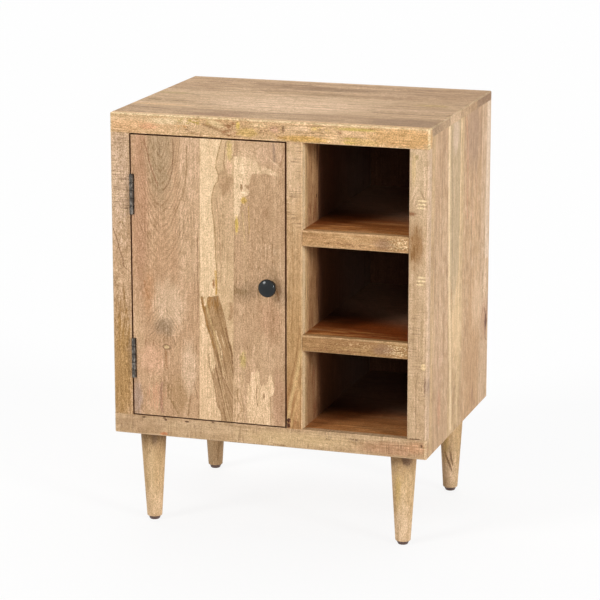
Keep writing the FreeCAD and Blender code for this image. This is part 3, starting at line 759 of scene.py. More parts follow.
def side_wood(name, seed):
    """Five planks, with a knot low down at the back."""
    w = Wood(name, "z", "y", "d2af84", seed, second="aa8664", mottle=0.6, grain=0.75, grit=0.95, sway=3,
             sawing=0.4, planks=((-144.5, "cba783"), (-57, "d5b387"), (29, "c9a37c"), (144, "d9b896")))
    w.figure((400, 20), (380, 260), "aa8662", 0.6, (13, 6), cover=0.46, crisp=0.1)
    w.figure((400, 20), (380, 260), "e8caa8", 0.55, (20, 5), cover=0.44, crisp=0.1)
    w.figure((400, 60), (380, 200), "bc986e", 0.4, (46, 11), cover=0.46)
    w.figure((540, -105), (60, 30), "b48f6a", 0.65, (40, 3.6), cover=0.48)
    w.spot((570, -125), (60, 20), "c49e7a", 0.4, soft=0.6)
    w.figure((290, -112), (110, 34), "d8b294", 0.6, (24, 6), crisp=0.1)
    w.spot((216, -106), (26, 8), "d09876", 0.55, rough=0.4, soft=0.6)
    w.line(((238, -162), (255, -163), (278, -166), (300, -168)), 2, "7e5e48")
    grey = w.between(((345, -22), (387, -36), (420, -47), (662, -52)),
                     ((345, -17), (387, -9), (425, 4), (662, 5)), (345, 690), 1.2, 2)
    w.tint(grey * 0.85, "c2a783")
    w.spot((628, -22), (26, 18), "dcbfa3", 0.75, rough=0.3)
    w.line(((430, -35), (507, -37), (576, -43), (640, -46)), 3, "8e7a5c", 0.65, soft=1.5)
    w.figure((470, -15), (100, 16), "a68e6c", 0.5, (30, 3), cover=0.42)
    w.line(((160, -34), (215, -37), (319, -45), (422, -54), (570, -60), (662, -62)), 12, "f6d8ac", 0.85, soft=2,
           breaks=0.2)
    w.line(((160, 3), (300, 6), (420, 9), (662, 12)), 7, "e8ca9c", soft=2, breaks=0.3)
    w.spot((320, -8), (62, 32), "e6c497", 0.7)
    w.arcs((300, -12), 3.2, 5.0, ((250, -14), (52, 18)), 0.6, "a6885c")
    w.line(((200, 14), (300, 20), (400, 24), (662, 22)), 3, "bea67a", 0.5, soft=1.5)
    w.spot((612, 92), (54, 48), "b08f74", 0.7)
    w.figure((590, 92), (80, 40), "a07e64", 0.5, (16, 4), cover=0.48, crisp=0.1)
    w.line(((480, 55), (569, 54), (645, 42)), 7, "d6a07e", 0.6, soft=3)
    w.figure((500, 100), (70, 30), "deaa88", 0.5, (60, 5), cover=0.45)
    w.spot((240, 96), (110, 46), "c69c73", 0.6, soft=0.6)
    w.spot((330, 122), (40, 26), "e4c29e", 0.55)
    w.figure((336, 176), (50, 16), "eacbab", 0.8, (8, 5), cover=0.6, crisp=0.06)
    w.line(((390, 187), (480, 184), (560, 187), (650, 189)), 20, "eed6be", soft=5, breaks=0.3, stray=1.5)
    w.spot((290, 176), (30, 20), "ba8a6a", 0.55, rough=0.4, soft=0.6)
    w.spot((284, 187), (13, 8), "623e2e", 0.95, rough=0.4)
    w.line(((250, 196), (266, 184), (284, 186), (310, 176)), 4, "704a36", 0.85)
    w.line(((284, 187), (300, 194), (330, 200)), 4, "78523c")
    w.spot((180, 104), (12, 5), "9e745a", 0.6, rough=0.4)
    w.spot((164, 119), (6, 4), "966c54", 0.6, rough=0.4)
    w.tint(w.step(w.u, 330, 230) * 0.16, "9a7854")
    w.worn_and_highlit(strength=0.4)
    return w.finish()


# The door's three planks. DOOR_GLUE has the glue lines' places at the floor, and they lean to the right by a
# share of the height. RIGHT_GLUE is the second of them.

DOOR_LEAN = 0.01
DOOR_GLUE = (-114.1, -58.6)
RIGHT_GLUE = ((180, -56.8), (632, -52.3))
# The places of the door's edges
DOOR_LEFT, DOOR_RIGHT, DOOR_FOOT, DOOR_HEAD = -220, 27.5, 186, 628


def door_plank(name, tone, seed, second="b08a66", grit=1.3):
    """The wood of a plank of the door."""
    return Wood(name, "z", "x", tone, seed, second=second, mottle=0.35, grit=grit, sway=4)


def door_edges(w):
    """Finishes a plank's wood with a darker left edge, painted shade on the door's edges in the gaps, and a
    painted shadow in the recess for the hinges.
    """
    w.tint(w.step(w.v, DOOR_LEFT + 0.5, DOOR_LEFT - 0.5) * 0.4, "966846")
    w.worn_and_highlit(strength=0.35)
    edge = w.step(w.v, DOOR_LEFT + 0.4, DOOR_LEFT - 0.2) + w.step(w.v, DOOR_RIGHT - 0.3, DOOR_RIGHT + 0.3)
    edge = edge + w.step(w.u, DOOR_FOOT + 0.4, DOOR_FOOT - 0.2)
    edge = w.math("MINIMUM", edge + w.step(w.u, DOOR_HEAD - 0.4, DOOR_HEAD + 0.2), 1.0)
    # Painted shade on the door's edge faces, in the gaps
    w.tint(edge * w.behind(0.35, 1.0), DOOR_GAP_SHADE)
    # Painted shadow of the hinge barrel in its recess
    w.tint(w.step(w.v, -214.2, -214.7) * w.behind(0.3, 0.8) * w.behind(9, 7) * 0.9, "3e2212")
    # Painted shade along the edges beside the gaps
    rim = w.step(w.v, DOOR_RIGHT + 0.2, DOOR_RIGHT + 0.8) + w.step(w.v, DOOR_LEFT, DOOR_LEFT - 0.6)
    w.tint(rim * 0.75, "5c2a0c")
    return w.finish()


def door_left_wood():
    """Grown flat, with a knot low down."""
    w = door_plank("door_left_wood", "c49e7a", 3)
    w.spot((520, -206), (130, 14), "b88a6a", 0.6)
    w.spot((600, -172), (70, 20), "aa906e", 0.7)
    w.tint(w.step(w.v, -150, -138) * w.step(w.u, 380, 420) * 0.5, "d2b08c")
    w.spot((600, -124), (60, 12), "d6b290", 0.5, soft=0.6)
    w.spot((430, -172), (60, 22), "b68e6a", 0.5, soft=0.6)
    w.arcs((640, -172), 3.3, 3.3, ((530, -168), (116, 50)), 0.55, "886240", point=1.6)
    w.line(((549, -176), (568, -183), (582, -188), (599, -192), (612, -196), (627, -200)), 1.6, "966248")
    w.line(((544, -173), (549, -164), (568, -155), (589, -152), (626, -151)), 1.6, "7e5c3e", 0.8)
    w.line(((512, -150), (532, -139), (557, -132), (616, -129)), 2.4, "96744c")
    w.line(((598, -174), (617, -173)), 1.8, "785c40")
    w.line(((312, -196), (322, -184), (334, -172), (342, -158)), 1.6, "7a5c3e")
    w.line(((300, -150), (312, -156), (320, -168)), 1.6, "806242")
    w.line(((350, -189), (364, -190), (384, -198), (401, -201)), 3, "986640")
    w.spot((378, -193), (32, 9), "bc8a60", 0.6, soft=0.6)
    w.line(((340, -113.6), (390, -113), (416, -113.4), (475, -112.6)), 1.6, "84603e", 0.8)
    w.line(((383, -120), (400, -118), (419, -119)), 1.4, "926e4c")
    w.spot((362, -160), (40, 26), "d8b896", 0.7)
    w.spot((328, -169), (12, 15), "92785c", 0.75, rough=0.4, soft=0.6)
    w.arcs((296, -166), 1.7, 4.4, ((330, -168), (34, 26)), 0.6, "7a5e42", point=1.4, wander=2.2, low=302)
    w.figure((300, -160), (26, 22), "967450", 0.6, (5, 2.4), cover=0.42)
    w.spot((276, -190), (22, 20), "daac8a", 0.65)
    w.spot((297, -165.5), (4.6, 6.8), "7a583c", 0.85, rough=0.3, soft=0.35)
    w.spot((297, -165.5), (2.7, 4.4), "d8b88a", 1.0, rough=0.25, soft=0.35)
    w.line(((262, -165.5), (275, -166), (291, -167)), 3.6, "9c704a", 0.8)
    w.line(((298, -200), (306, -200)), 2, "8c6442")
    w.line(((298, -187), (307, -187)), 2, "8c6442")
    w.spot((211, -215), (28, 8), "aa9080", 0.7)
    w.figure((216, -185), (30, 18), "d29c7a", 0.7, (40, 3.4), cover=0.6, crisp=0.1)
    w.line(((190, -172), (215, -176), (240, -173)), 4.5, "9c725c", soft=1.5)
    w.spot((222, -145), (28, 15), "ac8860", 0.7, rough=0.4)
    w.line(((190, -147), (207, -156), (220, -163), (238, -162)), 3.4, "8c6c44", soft=1.2)
    w.line(((188, -131), (216, -127), (241, -123)), 3, "906c46", 0.6, soft=1.2)
    w.line(((218, -114.6), (224, -116), (247, -121)), 1.8, "886240")
    w.spot((268, -128), (40, 12), "e0c09e", 0.6)
    return door_edges(w)


def door_middle_wood():
    """Sapwood at its left, wavy figure above and a dark wedge below."""
    w = door_plank("door_middle_wood", "eacaa1", 23, second="d8b48a", grit=1.15)
    bend = ((386, -83), (420, -82), (440, -83), (466, -84), (495, -85), (507, -87), (534, -89), (548, -87),
            (560, -83), (572, -78), (587, -82), (602, -80), (612, -77), (630, -72))
    w.tint(w.step(w.u, 410, 330) * 0.75, "deba92")
    w.tint(w.between(((180, -76), (384, -80)), -40, (180, 396), 0.5, 2) * 0.9, "ceac83")
    w.tint(w.between(bend, RIGHT_GLUE, (392, 640), 0.5, 0.7) * 0.8, "ceac84")
    w.tint(w.between(bend, RIGHT_GLUE, (440, 560), 0.5, 6) * 0.4, "be9a76")
    w.line(bend, 1.8, "96703e", 0.75)
    w.line(((574, -65), (583, -67), (593, -69), (603, -68), (616, -67), (626, -64)), 1.5, "906842", 0.75)
    w.line(((581, -63), (593, -62), (600, -57), (607, -53), (617, -52)), 1.5, "906842", 0.75)
    w.spot((613, -60), (15, 4), "ceb070", 0.7, rough=0.5, soft=0.4)
    w.spot((588, -61), (9, 5), "e2b894", 0.6, rough=0.4, soft=0.4)
    w.spot((562, -66), (18, 11), "a8825e", 0.65, rough=0.4)
    w.line(((400, -77), (440, -75), (500, -78), (540, -82)), 1.6, "a07a54", 0.6)
    w.line(((386, -83), (400, -83), (425, -84)), 3, "c4943e", 0.8, soft=1.2)
    w.spot((404, -87), (7, 2), "96602c", 0.8, rough=0.3, soft=0.4)
    wedge_left = ((186, -77), (198, -77), (207, -82), (219, -85), (238, -87), (250, -89), (262, -91),
                  (273, -85), (287, -87), (300, -89), (319, -94), (328, -97), (338, -100), (352, -103),
                  (365, -106), (380, -108))
    wedge_right = ((186, -57), (284, -56), (298, -57), (316, -62), (342, -67), (369, -74), (386, -80))
    tops = w.course(((-110, 380), (-106, 382), (-103.5, 372), (-101, 366), (-99, 369), (-97, 381), (-85, 384),
                     (-78, 386), (-50, 390)), by=w.v)
    wedge = w.between(wedge_left, wedge_right, (150, 390), 0.6, 0.5)
    wedge = wedge * w.step(w.u - tops + w.ragged(1.5), 0.7, -0.7)
    w.tint(wedge * 0.92, "b08c66")
    w.tint(wedge * w.step(w.u, 262, 300) * 0.5, "a88256")
    rays = w.noise(w.vector((w.v + w.u * 0.24) / 1.9, w.u / 110, 1.0), 2, 0.6)
    w.tint(wedge * w.step(rays, 0.52, 0.66) * 0.75, "765432")
    w.tint(wedge * w.step(rays, 0.44, 0.32) * 0.7, "d6b88c")
    golden = w.step(w.field(14, 4), 0.44, 0.56) * w.step(w.u, 352, 372)
    w.tint(wedge * golden * 0.6, "a4743a")
    w.line([(u, v + 2.2) for u, v in wedge_left if u > 290], 3.4, "a07238", soft=1.2, breaks=0.8, stray=0.9)
    w.line(((382, -103), (372, -99), (352, -95), (330, -88), (300, -80)), 2.6, "d6b480", soft=0.8)
    w.line(((378, -84), (352, -78), (322, -70), (300, -64)), 2.2, "8c6842", soft=0.8)
    w.line(((284, -74), (301, -76), (320, -82), (329, -84)), 2.2, CREAM, 0.8, breaks=0.8)
    w.line(((304, -69.5), (323, -75)), 1.4, CREAM)
    w.line(((262, -88), (278, -91), (292, -93)), 2.2, CREAM, 0.85)
    w.line(((278, -57), (295, -59), (315, -64), (335, -68)), 2, "704c2e", 0.85)
    w.line(((222, -57), (240, -65), (257, -73)), 1.8, "8a6646", 0.8)
    w.line(((250, -89), (261, -92), (276, -95), (292, -96)), 1.5, "846236", 0.85)
    w.line(((348, -62), (363, -58), (376, -60)), 6, "9c724e", soft=2)
    w.line([(u, -112.4 + 0.01 * (u - 185)) for u in (185, 400, 629)], 1.0, "a07a54", 0.6)
    return door_edges(w)


def door_right_wood():
    """Pale patches with crisp edges."""
    w = door_plank("door_right_wood", "c4a07c", 33)
    w.tint(w.between(((286, -56), (630, -52.3)), -34, (180, 300), 1.5, 4) * 0.3, "d2b08a")
    rays = w.noise(w.vector((w.u + w.v * 0.5) / 1.7, w.v / 46, 2.0), 2, 0.6)
    w.spot((604, -26), (15, 30), "debc96", 0.7, rough=0.5, soft=0.4, turn=-28)
    streaks = w.near((606, -16), (15, 40), rough=0.3, soft=0.4, turn=-28) * w.step(rays, 0.5, 0.62)
    w.tint(streaks * 0.6, "ac8662")
    fan_top = w.course(((-52, 599), (-30, 603), (-10, 593), (5, 588), (18, 582)), by=w.v)
    fan_foot = w.course(((-52, 560), (-30, 562), (-23, 579), (-10, 580), (5, 579), (18, 577)), by=w.v)
    fan = w.step(fan_top - w.u + w.ragged(2.0) + (rays - 0.5) * 16, -2, 3) * w.step(w.v, 21, 13)
    fan = fan * w.step(w.u - fan_foot + w.ragged(1.2), -0.6, 0.6)
    w.tint(fan * 0.95, "e9c8a0")
    pale = ((505, -49), (513, -46), (530, -42), (541, -39), (546, -31), (551, -29), (557, -34), (564, -36),
            (572, -34), (580, -32), (590, -38), (606, -30))
    w.tint(w.between(RIGHT_GLUE, pale, (505, 604), 0.6, 0.4), "eacaa2")
    w.line(((583, -12), (600, -20)), 3, CREAM, 0.8, soft=1)
    w.line(((582, -19), (596, -26)), 2.5, CREAM, 0.8, soft=1)
    w.spot((557, -41), (5, 2), "a4805c", 0.95, rough=0.3, soft=0.3)
    w.spot((537, -37), (5.5, 5), "cca652", 0.9, rough=0.4, soft=0.3)
    w.spot((498, -49), (13, 2.6), "d6b460", 0.95, rough=0.3, soft=0.3)
    w.line(((486, -29), (504, -29), (529, -30)), 1.8, "c49e50", 0.85)
    w.line(((470, -36), (500, -38), (520, -40)), 2.4, "d4b484", 0.8)
    w.spot((519, -3), (8, 6), "a07a58", 0.8, rough=0.3)
    w.spot((470, -10), (130, 30), "b89470", 0.5, soft=0.6)
    w.spot((611, 4), (18, 20), "cea888", 0.5)
    w.line(((599, 12), (612, 11.5), (627, 10)), 4, "967a62", 0.8, soft=1)
    w.line(((590, 21), (608, -1)), 2.6, "e2c29c", soft=1)
    w.line(((590, 20), (603, 23.5), (612, 26), (622, 27)), 1.5, "8a6242")
    w.figure((440, 0), (60, 30), "d4b290", 0.5, (16, 3), cover=0.4)
    w.spot((394, -42), (5, 14), "a0805a", 0.75, rough=0.4)
    w.spot((402, 17), (16, 5), "8c6a4c", 0.75, rough=0.4)
    w.spot((352, 5), (30, 18), "be9270", 0.5, rough=0.4, soft=0.6)
    w.spot((286, -40), (12, 5), "c2a862", 0.65, rough=0.5)
    w.spot((225, 18), (46, 10), "b28a6a", 0.75, soft=0.4)
    tops = w.course(((-36, 232), (-33, 246), (-27, 249), (-25.5, 267), (-13.5, 269), (-12, 251), (-5, 249),
                     (0, 256), (5, 263), (9, 256), (12, 240)), by=w.v)
    patch = w.between(((180, -33), (227, -34), (250, -33), (275, -34)),
                      ((180, 3), (211, 4), (229, 3), (234, 9), (250, 11), (275, 9)), (150, 290), 0.7, 0.4)
    fingers = (w.noise(w.vector(w.v / 2.2, w.u / 60, 4.0), 2, 0.6) - 0.5) * 34
    patch = patch * w.step(w.u - tops + w.ragged(1.2) + fingers, 1.2, -1.2)
    w.tint(patch, "e4c199")
    w.line(((214, -16), (230, -18), (248, -16)), 2.4, "ac8862", 0.9)
    w.spot((231, -6), (5, 1.6), "ac8862", 0.9, rough=0.4, soft=0.3)
    w.line(((184, -24), (196, -21)), 2, "be9a74", 0.8)
    w.line(((184, -6), (200, -9)), 2, "be9a74", 0.8)
    strip = w.between(((180, -57), (290, -56)), ((180, -37), (240, -38), (290, -41)), (150, 262), 1.2, 1.5)
    w.tint(strip * w.step(fingers, 6, -6) * 0.75, "dab68e")
    w.line(((188, -50), (198, -47), (206, -43), (216, -45), (226, -49), (240, -48)), 2.4, "a07c52", 0.75)
    w.line(((196, -42), (206, -39), (218, -41), (232, -43), (250, -42)), 1.8, "a27e58")
    w.line(((184, -55), (214, -53), (240, -54)), 2, "a8845e", 0.6)
    w.line(((384, 18), (394, 16.5), (404, 14)), 3.2, "86603c", 0.85)
    return door_edges(w)


def top_rail_wood():
    """Many small knots and pale patches."""
    w = Wood("top_rail_wood", "x", "z", "d8b286", 4, second="c09464", mottle=0.45, sway=5, grain=1.4, grit=1.7)
    w.spot((-215, 642), (50, 9), "daac7c", 0.6, soft=0.6)
    for k, height in enumerate((647, 643, 639, 635)):
        w.line(((-252, height), (-225 + 8 * k, height - 2.5)), 1.5, "b08054", 0.6)
    w.spot((-191, 643), (14, 5), "e0a67e", 0.6)
    w.spot((-153, 653), (34, 5), "eacca0", 0.8, rough=0.4, soft=0.4)
    w.arcs((-119, 649), 1.5, 2.4, ((-119, 648), (14, 9)), 0.85, "84603e", wander=1.2)
    w.figure((-138, 646), (16, 7), "c88a46", 0.7, (6, 2.5), crisp=0.06)
    w.figure((-112, 654), (44, 6), "bea056", 0.8, (9, 3), cover=0.6, crisp=0.06)
    w.line(((-132, 643), (-116, 636), (-104, 633)), 3.4, "926c48", soft=1.4)
    w.line(((-104, 651), (-89, 647), (-78, 643), (-62, 637)), 4, "8c6642", 0.75, soft=1.6)
    w.spot((-82, 653), (14, 4), "e4c696", 0.8, rough=0.3, soft=0.4, turn=-20)
    w.figure((-59, 645), (16, 14), "9e6e4a", 0.85, (6, 4), cover=0.65, crisp=0.1)
    w.spot((-46, 652), (3, 6), "d8b85c", 0.8, rough=0.4, soft=0.4)
    w.spot((-31, 642), (17, 7), "d4b06c", 0.85, rough=0.35, soft=0.3)
    w.spot((-14, 654), (14, 3.5), "e8c898", 0.7)
    w.figure((-8, 645), (15, 6), "8c6848", 0.7, (5, 2.2), cover=0.45, crisp=0.06)
    w.spot((12, 649), (8, 5), "d8aa8c", 0.7, soft=0.4)
    w.arcs((26, 650), 1.0, 2.2, ((26, 650), (8, 8)), 0.8, "7e583c", wander=0.8)
    w.spot((26, 650), (2.4, 5), "684832", 0.85, rough=0.3, soft=0.4)
    w.line(((14, 642), (19, 638), (28, 638)), 1.6, "8c5036", 0.85)
    w.spot((58, 637), (40, 4.6), "d4a658", 0.8, rough=0.4, soft=0.4)
    w.figure((38, 634), (20, 4), "967032", 0.8, (5, 2.4), crisp=0.06)
    w.spot((49, 651), (20, 6), "e8c49a", 0.7)
    w.figure((82, 653), (28, 4), "d6b664", 0.7, (14, 2), cover=0.55, crisp=0.06)
    w.spot((100, 643), (10, 8), "deb684", 0.6)
    w.spot((143, 655.5), (32, 2.6), "c0a856", 0.75, rough=0.4, soft=0.4)
    w.spot((141, 649), (24, 3.6), "e4bc90", 0.8, soft=0.4)
    w.spot((131, 641.5), (12, 1.6), "ac924a", 0.75, rough=0.4, soft=0.4)
    w.spot((130, 635), (10, 2), "d0b45c", 0.7, rough=0.4, soft=0.4)
    w.spot((115, 649), (3, 2), "966846", 0.7)
    w.spot((150, 637), (30, 5), "d6b06c", 0.6)
    w.spot((214, 647), (52, 14), "d6a870", 0.85, soft=0.4)
    w.figure((192, 642), (26, 8), "b88652", 0.6, (6, 2.4), cover=0.4)
    w.spot((-20, 645), (110, 16), "a0764a", 0.2, soft=0.6)
    w.worn_and_highlit("eed4a6", strength=0.75)
    w.gap(w.step(w.x, 31, 29.5) * w.step(w.z, 633, 631.6) * w.step(w.x, -224, -223))
    return w.finish()


def bottom_rail_wood():
    """Sawn across, with dark specks on its upper edge."""
    w = Wood("bottom_rail_wood", "x", "z", "c09f7a", 5, second="ae8a66", mottle=0.4, sway=3)
    w.spot((-215, 168), (50, 12), "b08e6c", 0.5)
    w.spot((-100, 172), (60, 8), "d0b08a", 0.6)
    w.spot((46, 166), (90, 12), "d6b688", 0.7, soft=0.6)
    w.spot((-171, 156), (6, 2.4), "ce8054", 0.8, rough=0.4, soft=0.4)
    w.line(((-97, 178), (-93, 172), (-91, 168)), 1.8, "785c42")
    w.line(((8, 156), (30, 154.5)), 1.8, "805e3a")
    for at, size in (((-171, 182), 3), ((-168, 179), 2.4), ((-133, 179), 3.4), ((-90, 182), 2.4),
                     ((-205, 180.5), 3)):
        w.spot(at, (size, 1.3), "523222", 0.9, rough=0.3, soft=0.3)
    w.figure((101, 173), (9, 5), "866e5a", 0.7, (2.4, 5), crisp=0.06)
    w.figure((140, 174.5), (10, 3), "6e5448", 0.85, (2, 3), cover=0.55, crisp=0.06)
    w.spot((200, 165), (50, 10), "be8f6c", 0.7)
    w.spot((238, 170), (16, 8), "ce9c74", 0.6)
    w.spot((246, 174), (1.8, 2.4), "5c3e2c", 0.9, soft=0.3)
    w.saw_marks(0.34)
    w.worn_and_highlit("e2c29a", strength=0.7)
    w.gap(w.step(w.x, 31, 29.5) * w.step(w.z, 181, 182.4) * w.step(w.x, -224, -223), 0.6)
    return w.finish()


def left_stile_wood():
    """Sawn across in its upper part."""
    w = Wood("left_stile_wood", "z", "x", "c4a07c", 6, second="a8835e", mottle=0.5, grain=1.3, grit=1.7, sway=5)
    w.spot((560, -240), (90, 18), "d0b092", 0.7, soft=0.6)
    w.figure((480, -238), (34, 10), "967446", 0.75, (10, 3))
    w.figure((325, -238), (60, 16), "8e6838", 0.8, (22, 3), cover=0.55)
    w.spot((250, -240), (90, 18), "ac8450", 0.85, soft=0.6)
    w.line(((483, -253), (473, -249), (462, -245), (446, -241), (432, -236), (423, -235), (418, -231),
            (413, -225)), 1.7, "765436", 0.85)
    w.figure((400, -244), (40, 8), "debe96", 0.7, (8, 3))
    w.saw_marks(0.55, w.step(w.u, 470, 500))
    w.worn_and_highlit(strength=0.4)
    w.gap(w.step(w.v, -225, -224), 0.7)
    return w.finish()


def right_stile_wood():
    """A knot in its middle and pale dents."""
    w = Wood("right_stile_wood", "z", "x", "caaa86", 7, second="b8946e", mottle=0.35, sway=4)
    w.spot((595, 240), (46, 18), "d6b894", 0.7, soft=0.6)
    w.spot((484, 234), (30, 11), "a0764a", 0.8, rough=0.3, soft=0.6)
    w.figure((484, 232), (34, 12), "8a6036", 0.8, (16, 2.6), cover=0.6, crisp=0.1)
    w.spot((533, 227), (3, 6), "8e5c3a", 0.8, rough=0.4)
    w.arcs((528, 238), 3.2, 4.2, ((552, 238), (26, 14)), 0.8, "8c6844", point=1.8, wander=0.8, low=545)
    for at in (548, 431):
        for k in range(3):
            w.spot((at + 5.5 - 5.5 * k, 244 - 1.2 * k), (1.5, 8 - k), "f0d4a6", 1.0, rough=0.35, soft=0.3)
    w.spot((298, 248), (5.4, 4.4), "f0d0a0", 1.0, rough=0.1, soft=0.1)
    w.spot((619, 234), (4, 3), "a08854", 0.6)
    w.spot((600, 230), (24, 3), "d8b884", 0.6)
    w.line(((200, 238), (250, 236), (290, 240)), 1.4, "967654", 0.6)
    w.saw_marks(0.3, w.step(w.u, 430, 380))
    w.spot((184, 236), (1.2, 10), "60422c", 0.8, rough=0.5, soft=0.4)
    # Painted reflection on the rounded right edge: a greyer band
    w.tint(w.step(w.v, 249, 250.5) * 0.4, "c09c80")
    w.spot((268, 252), (12, 3), "6e4e40", 0.7, rough=0.3)
    w.worn_and_highlit("dabc9a", strength=0.25)
    # Painted highlight along the rounded right edge
    w.tint(w.step(w.v, 250.6, 252) * 0.25, "dec2a4")
    return w.finish()


def divider_lip_wood():
    """Pale lines that climb to the right, low down."""
    w = Wood("divider_lip_wood", "z", "x", "caa47a", 8, second="b28a5e", mottle=0.35, sway=4)
    w.spot((585, 42), (50, 16), "d8b690", 0.8, soft=0.6)
    w.tint(w.step(w.u, 500, 330) * 0.75, "b28a5a")
    w.tint(w.step(w.u, 310, 220) * 0.75, "a2754a")
    w.line(((196, 33), (225, 37), (255, 44), (285, 50), (310, 55)), 5, "d4b07c", 0.8, soft=2, breaks=0.2)
    w.line(((186, 38), (215, 44), (240, 51), (262, 57)), 3.5, "cea672", soft=1.5, breaks=0.3)
    w.line(((235, 33), (265, 39), (300, 46), (345, 52)), 2, "92683e", soft=1)
    w.line(((190, 44), (214, 50), (232, 56)), 2.5, "96603c", soft=1.2)
    w.line(((330, 36), (380, 41), (430, 42), (470, 40)), 2.5, "9c7448", 0.5, soft=1.5)
    w.line(((196, 48), (230, 50), (262, 44)), 7, "deb27e", 0.6, soft=3)
    w.spot((196, 34), (3.6, 3), "46221c", 0.95, rough=0.5, soft=0.3)
    w.spot((188, 33.5), (4, 2.6), "46221c", 0.9, rough=0.5, soft=0.3)
    w.saw_marks(0.5, w.step(w.u, 470, 510))
    w.worn_and_highlit("e6c296", strength=0.75)
    # Painted shade at the left edge, beside the door's gap
    w.tint(w.step(w.v, 31.2, 30.7) * 0.35, "5a2c12")
    # Painted light on the right side face that looks into the case
    w.tint(w.step(w.v, 55.2, 55.9) * w.behind(1, 3) * 0.75, "f0d4a8")
    w.gap(w.step(w.v, 32, 31.2))
    return w.finish()


def shelf_lip_wood(name, seed, tone, z):
    """The strip in front of a shelf, whose middle is at a height."""
    w = Wood(name, "x", "z", tone, seed, second="986c48", mottle=0.5, grit=1.3, sway=4)
    w.figure((205, z), (24, 12), "eccea0", 0.85, (3, 2.2), cover=0.55, crisp=0.05)
    w.figure((140, z + 4), (40, 8), "deb888", 0.6, (4, 2.6), cover=0.45, crisp=0.05)
    w.figure((120, z - 6), (60, 6), "886040", 0.7, (6, 2.6), cover=0.45, crisp=0.05)
    w.spot((184, z), (14, 8), "927058", 0.6, rough=0.4, soft=0.6)
    w.worn_and_highlit("e2bc8e", strength=0.55)
    return w.finish()


def panel_wood(name, along, across, tone, seed, **look):
    """Wood without marks."""
    w = Wood(name, along, across, tone, seed, **look)
    w.worn_and_highlit(strength=0.3)
    return w.finish()


def upright_inner_wood():
    """The faces of the sides and the divider that look into the case."""
    w = Wood("upright_inner_wood", "z", "y", "c2986c", 21, second="966a44", mottle=0.6, grain=1.4, sway=5)
    # Painted light on the front of the inner faces, where the light comes in
    w.tint(w.behind(36, 18) * 0.6, "e2c08e")
    w.figure((400, FRONT_MM + 36), (300, 40), "845836", 0.7, (30, 5), cover=0.42, crisp=0.1)
    w.figure((520, FRONT_MM + 50), (60, 26), "8a5638", 0.8, (16, 4), crisp=0.1)
    w.spot((537, FRONT_MM + 72), (3, 2.4), "2c160e", 0.9, rough=0.4, soft=0.4)
    w.spot((200, FRONT_MM + 66), (14, 8), "8c462c", 0.6, rough=0.4)
    w.figure((240, FRONT_MM + 56), (50, 14), "964e32", 0.7, (30, 3))
    # Painted shade that deepens behind the front
    w.painted_depth_shade(58, 92, colour="5c3c2a", warm="965c38", warmth=0.5)
    # More painted shade behind the front in the middle and bottom cubbies
    w.tint(w.step(w.z, 480, 440) * w.behind(26, 48) * 0.3, "6c462c")
    w.tint(w.step(w.z, 330, 290) * w.behind(4, 26) * 0.35, "80583a")
    # Painted light far back, lighter than the painted shade in front of it
    w.tint(w.behind(140, 300), "846856")
    return w.finish()


def flat_inner_wood():
    """The faces of the top, the shelves and the bottom that look into the case."""
    w = Wood("flat_inner_wood", "x", "y", "be7c44", 22, second="8a4c22", mottle=0.7, grain=1.6, sway=6)
    w.tint(w.step(w.z, 330, 332) * w.step(w.z, 336, 334) * w.step(w.x, 60, 130) * 0.85, "863c12")
    w.figure((140, FRONT_MM + 26), (130, 34), "d89c5c", 0.6, (46, 5), cover=0.46)
    w.figure((140, FRONT_MM + 40), (130, 40), "6c3e1e", 0.65, (36, 4), cover=0.44)
    # Painted shade that deepens behind the front, and reaches further back at the right
    w.painted_depth_shade(24, 124, colour="402618", warm="8c481e", warmth=0.6, slant=0.3)
    # Painted light on the front part of the bottom's top face
    w.tint(w.step(w.z, 182, 184) * w.step(w.z, 188, 186) * w.behind(140, 80) * 0.7, "cc945e")
    # Painted light far back, lighter than the painted shade in front of it
    deep = w.step(w.y + w.x * 0.6, FRONT_MM + 175, FRONT_MM + 285)
    w.tint(deep * w.step(w.z, 190, 320, 0.5, 0.85), "a07c62")
    return w.finish()


def back_wood():
    """The dark back panel, its darkness painted shade of the deep inside, with a lighter outer face."""
    w = Wood("back_wood", "z", "x", "5c3e2c", 18, second="4a3224", pale="704e38", mottle=0.5,
             planks=((-130, "62422e"), (-20, "583c2a"), (90, "60402c")))
    w.tint(w.step(w.y, 201, 200) * 0.6, "62402e")
    w.worn_and_highlit("825e42", strength=0.3)
    return w.finish()


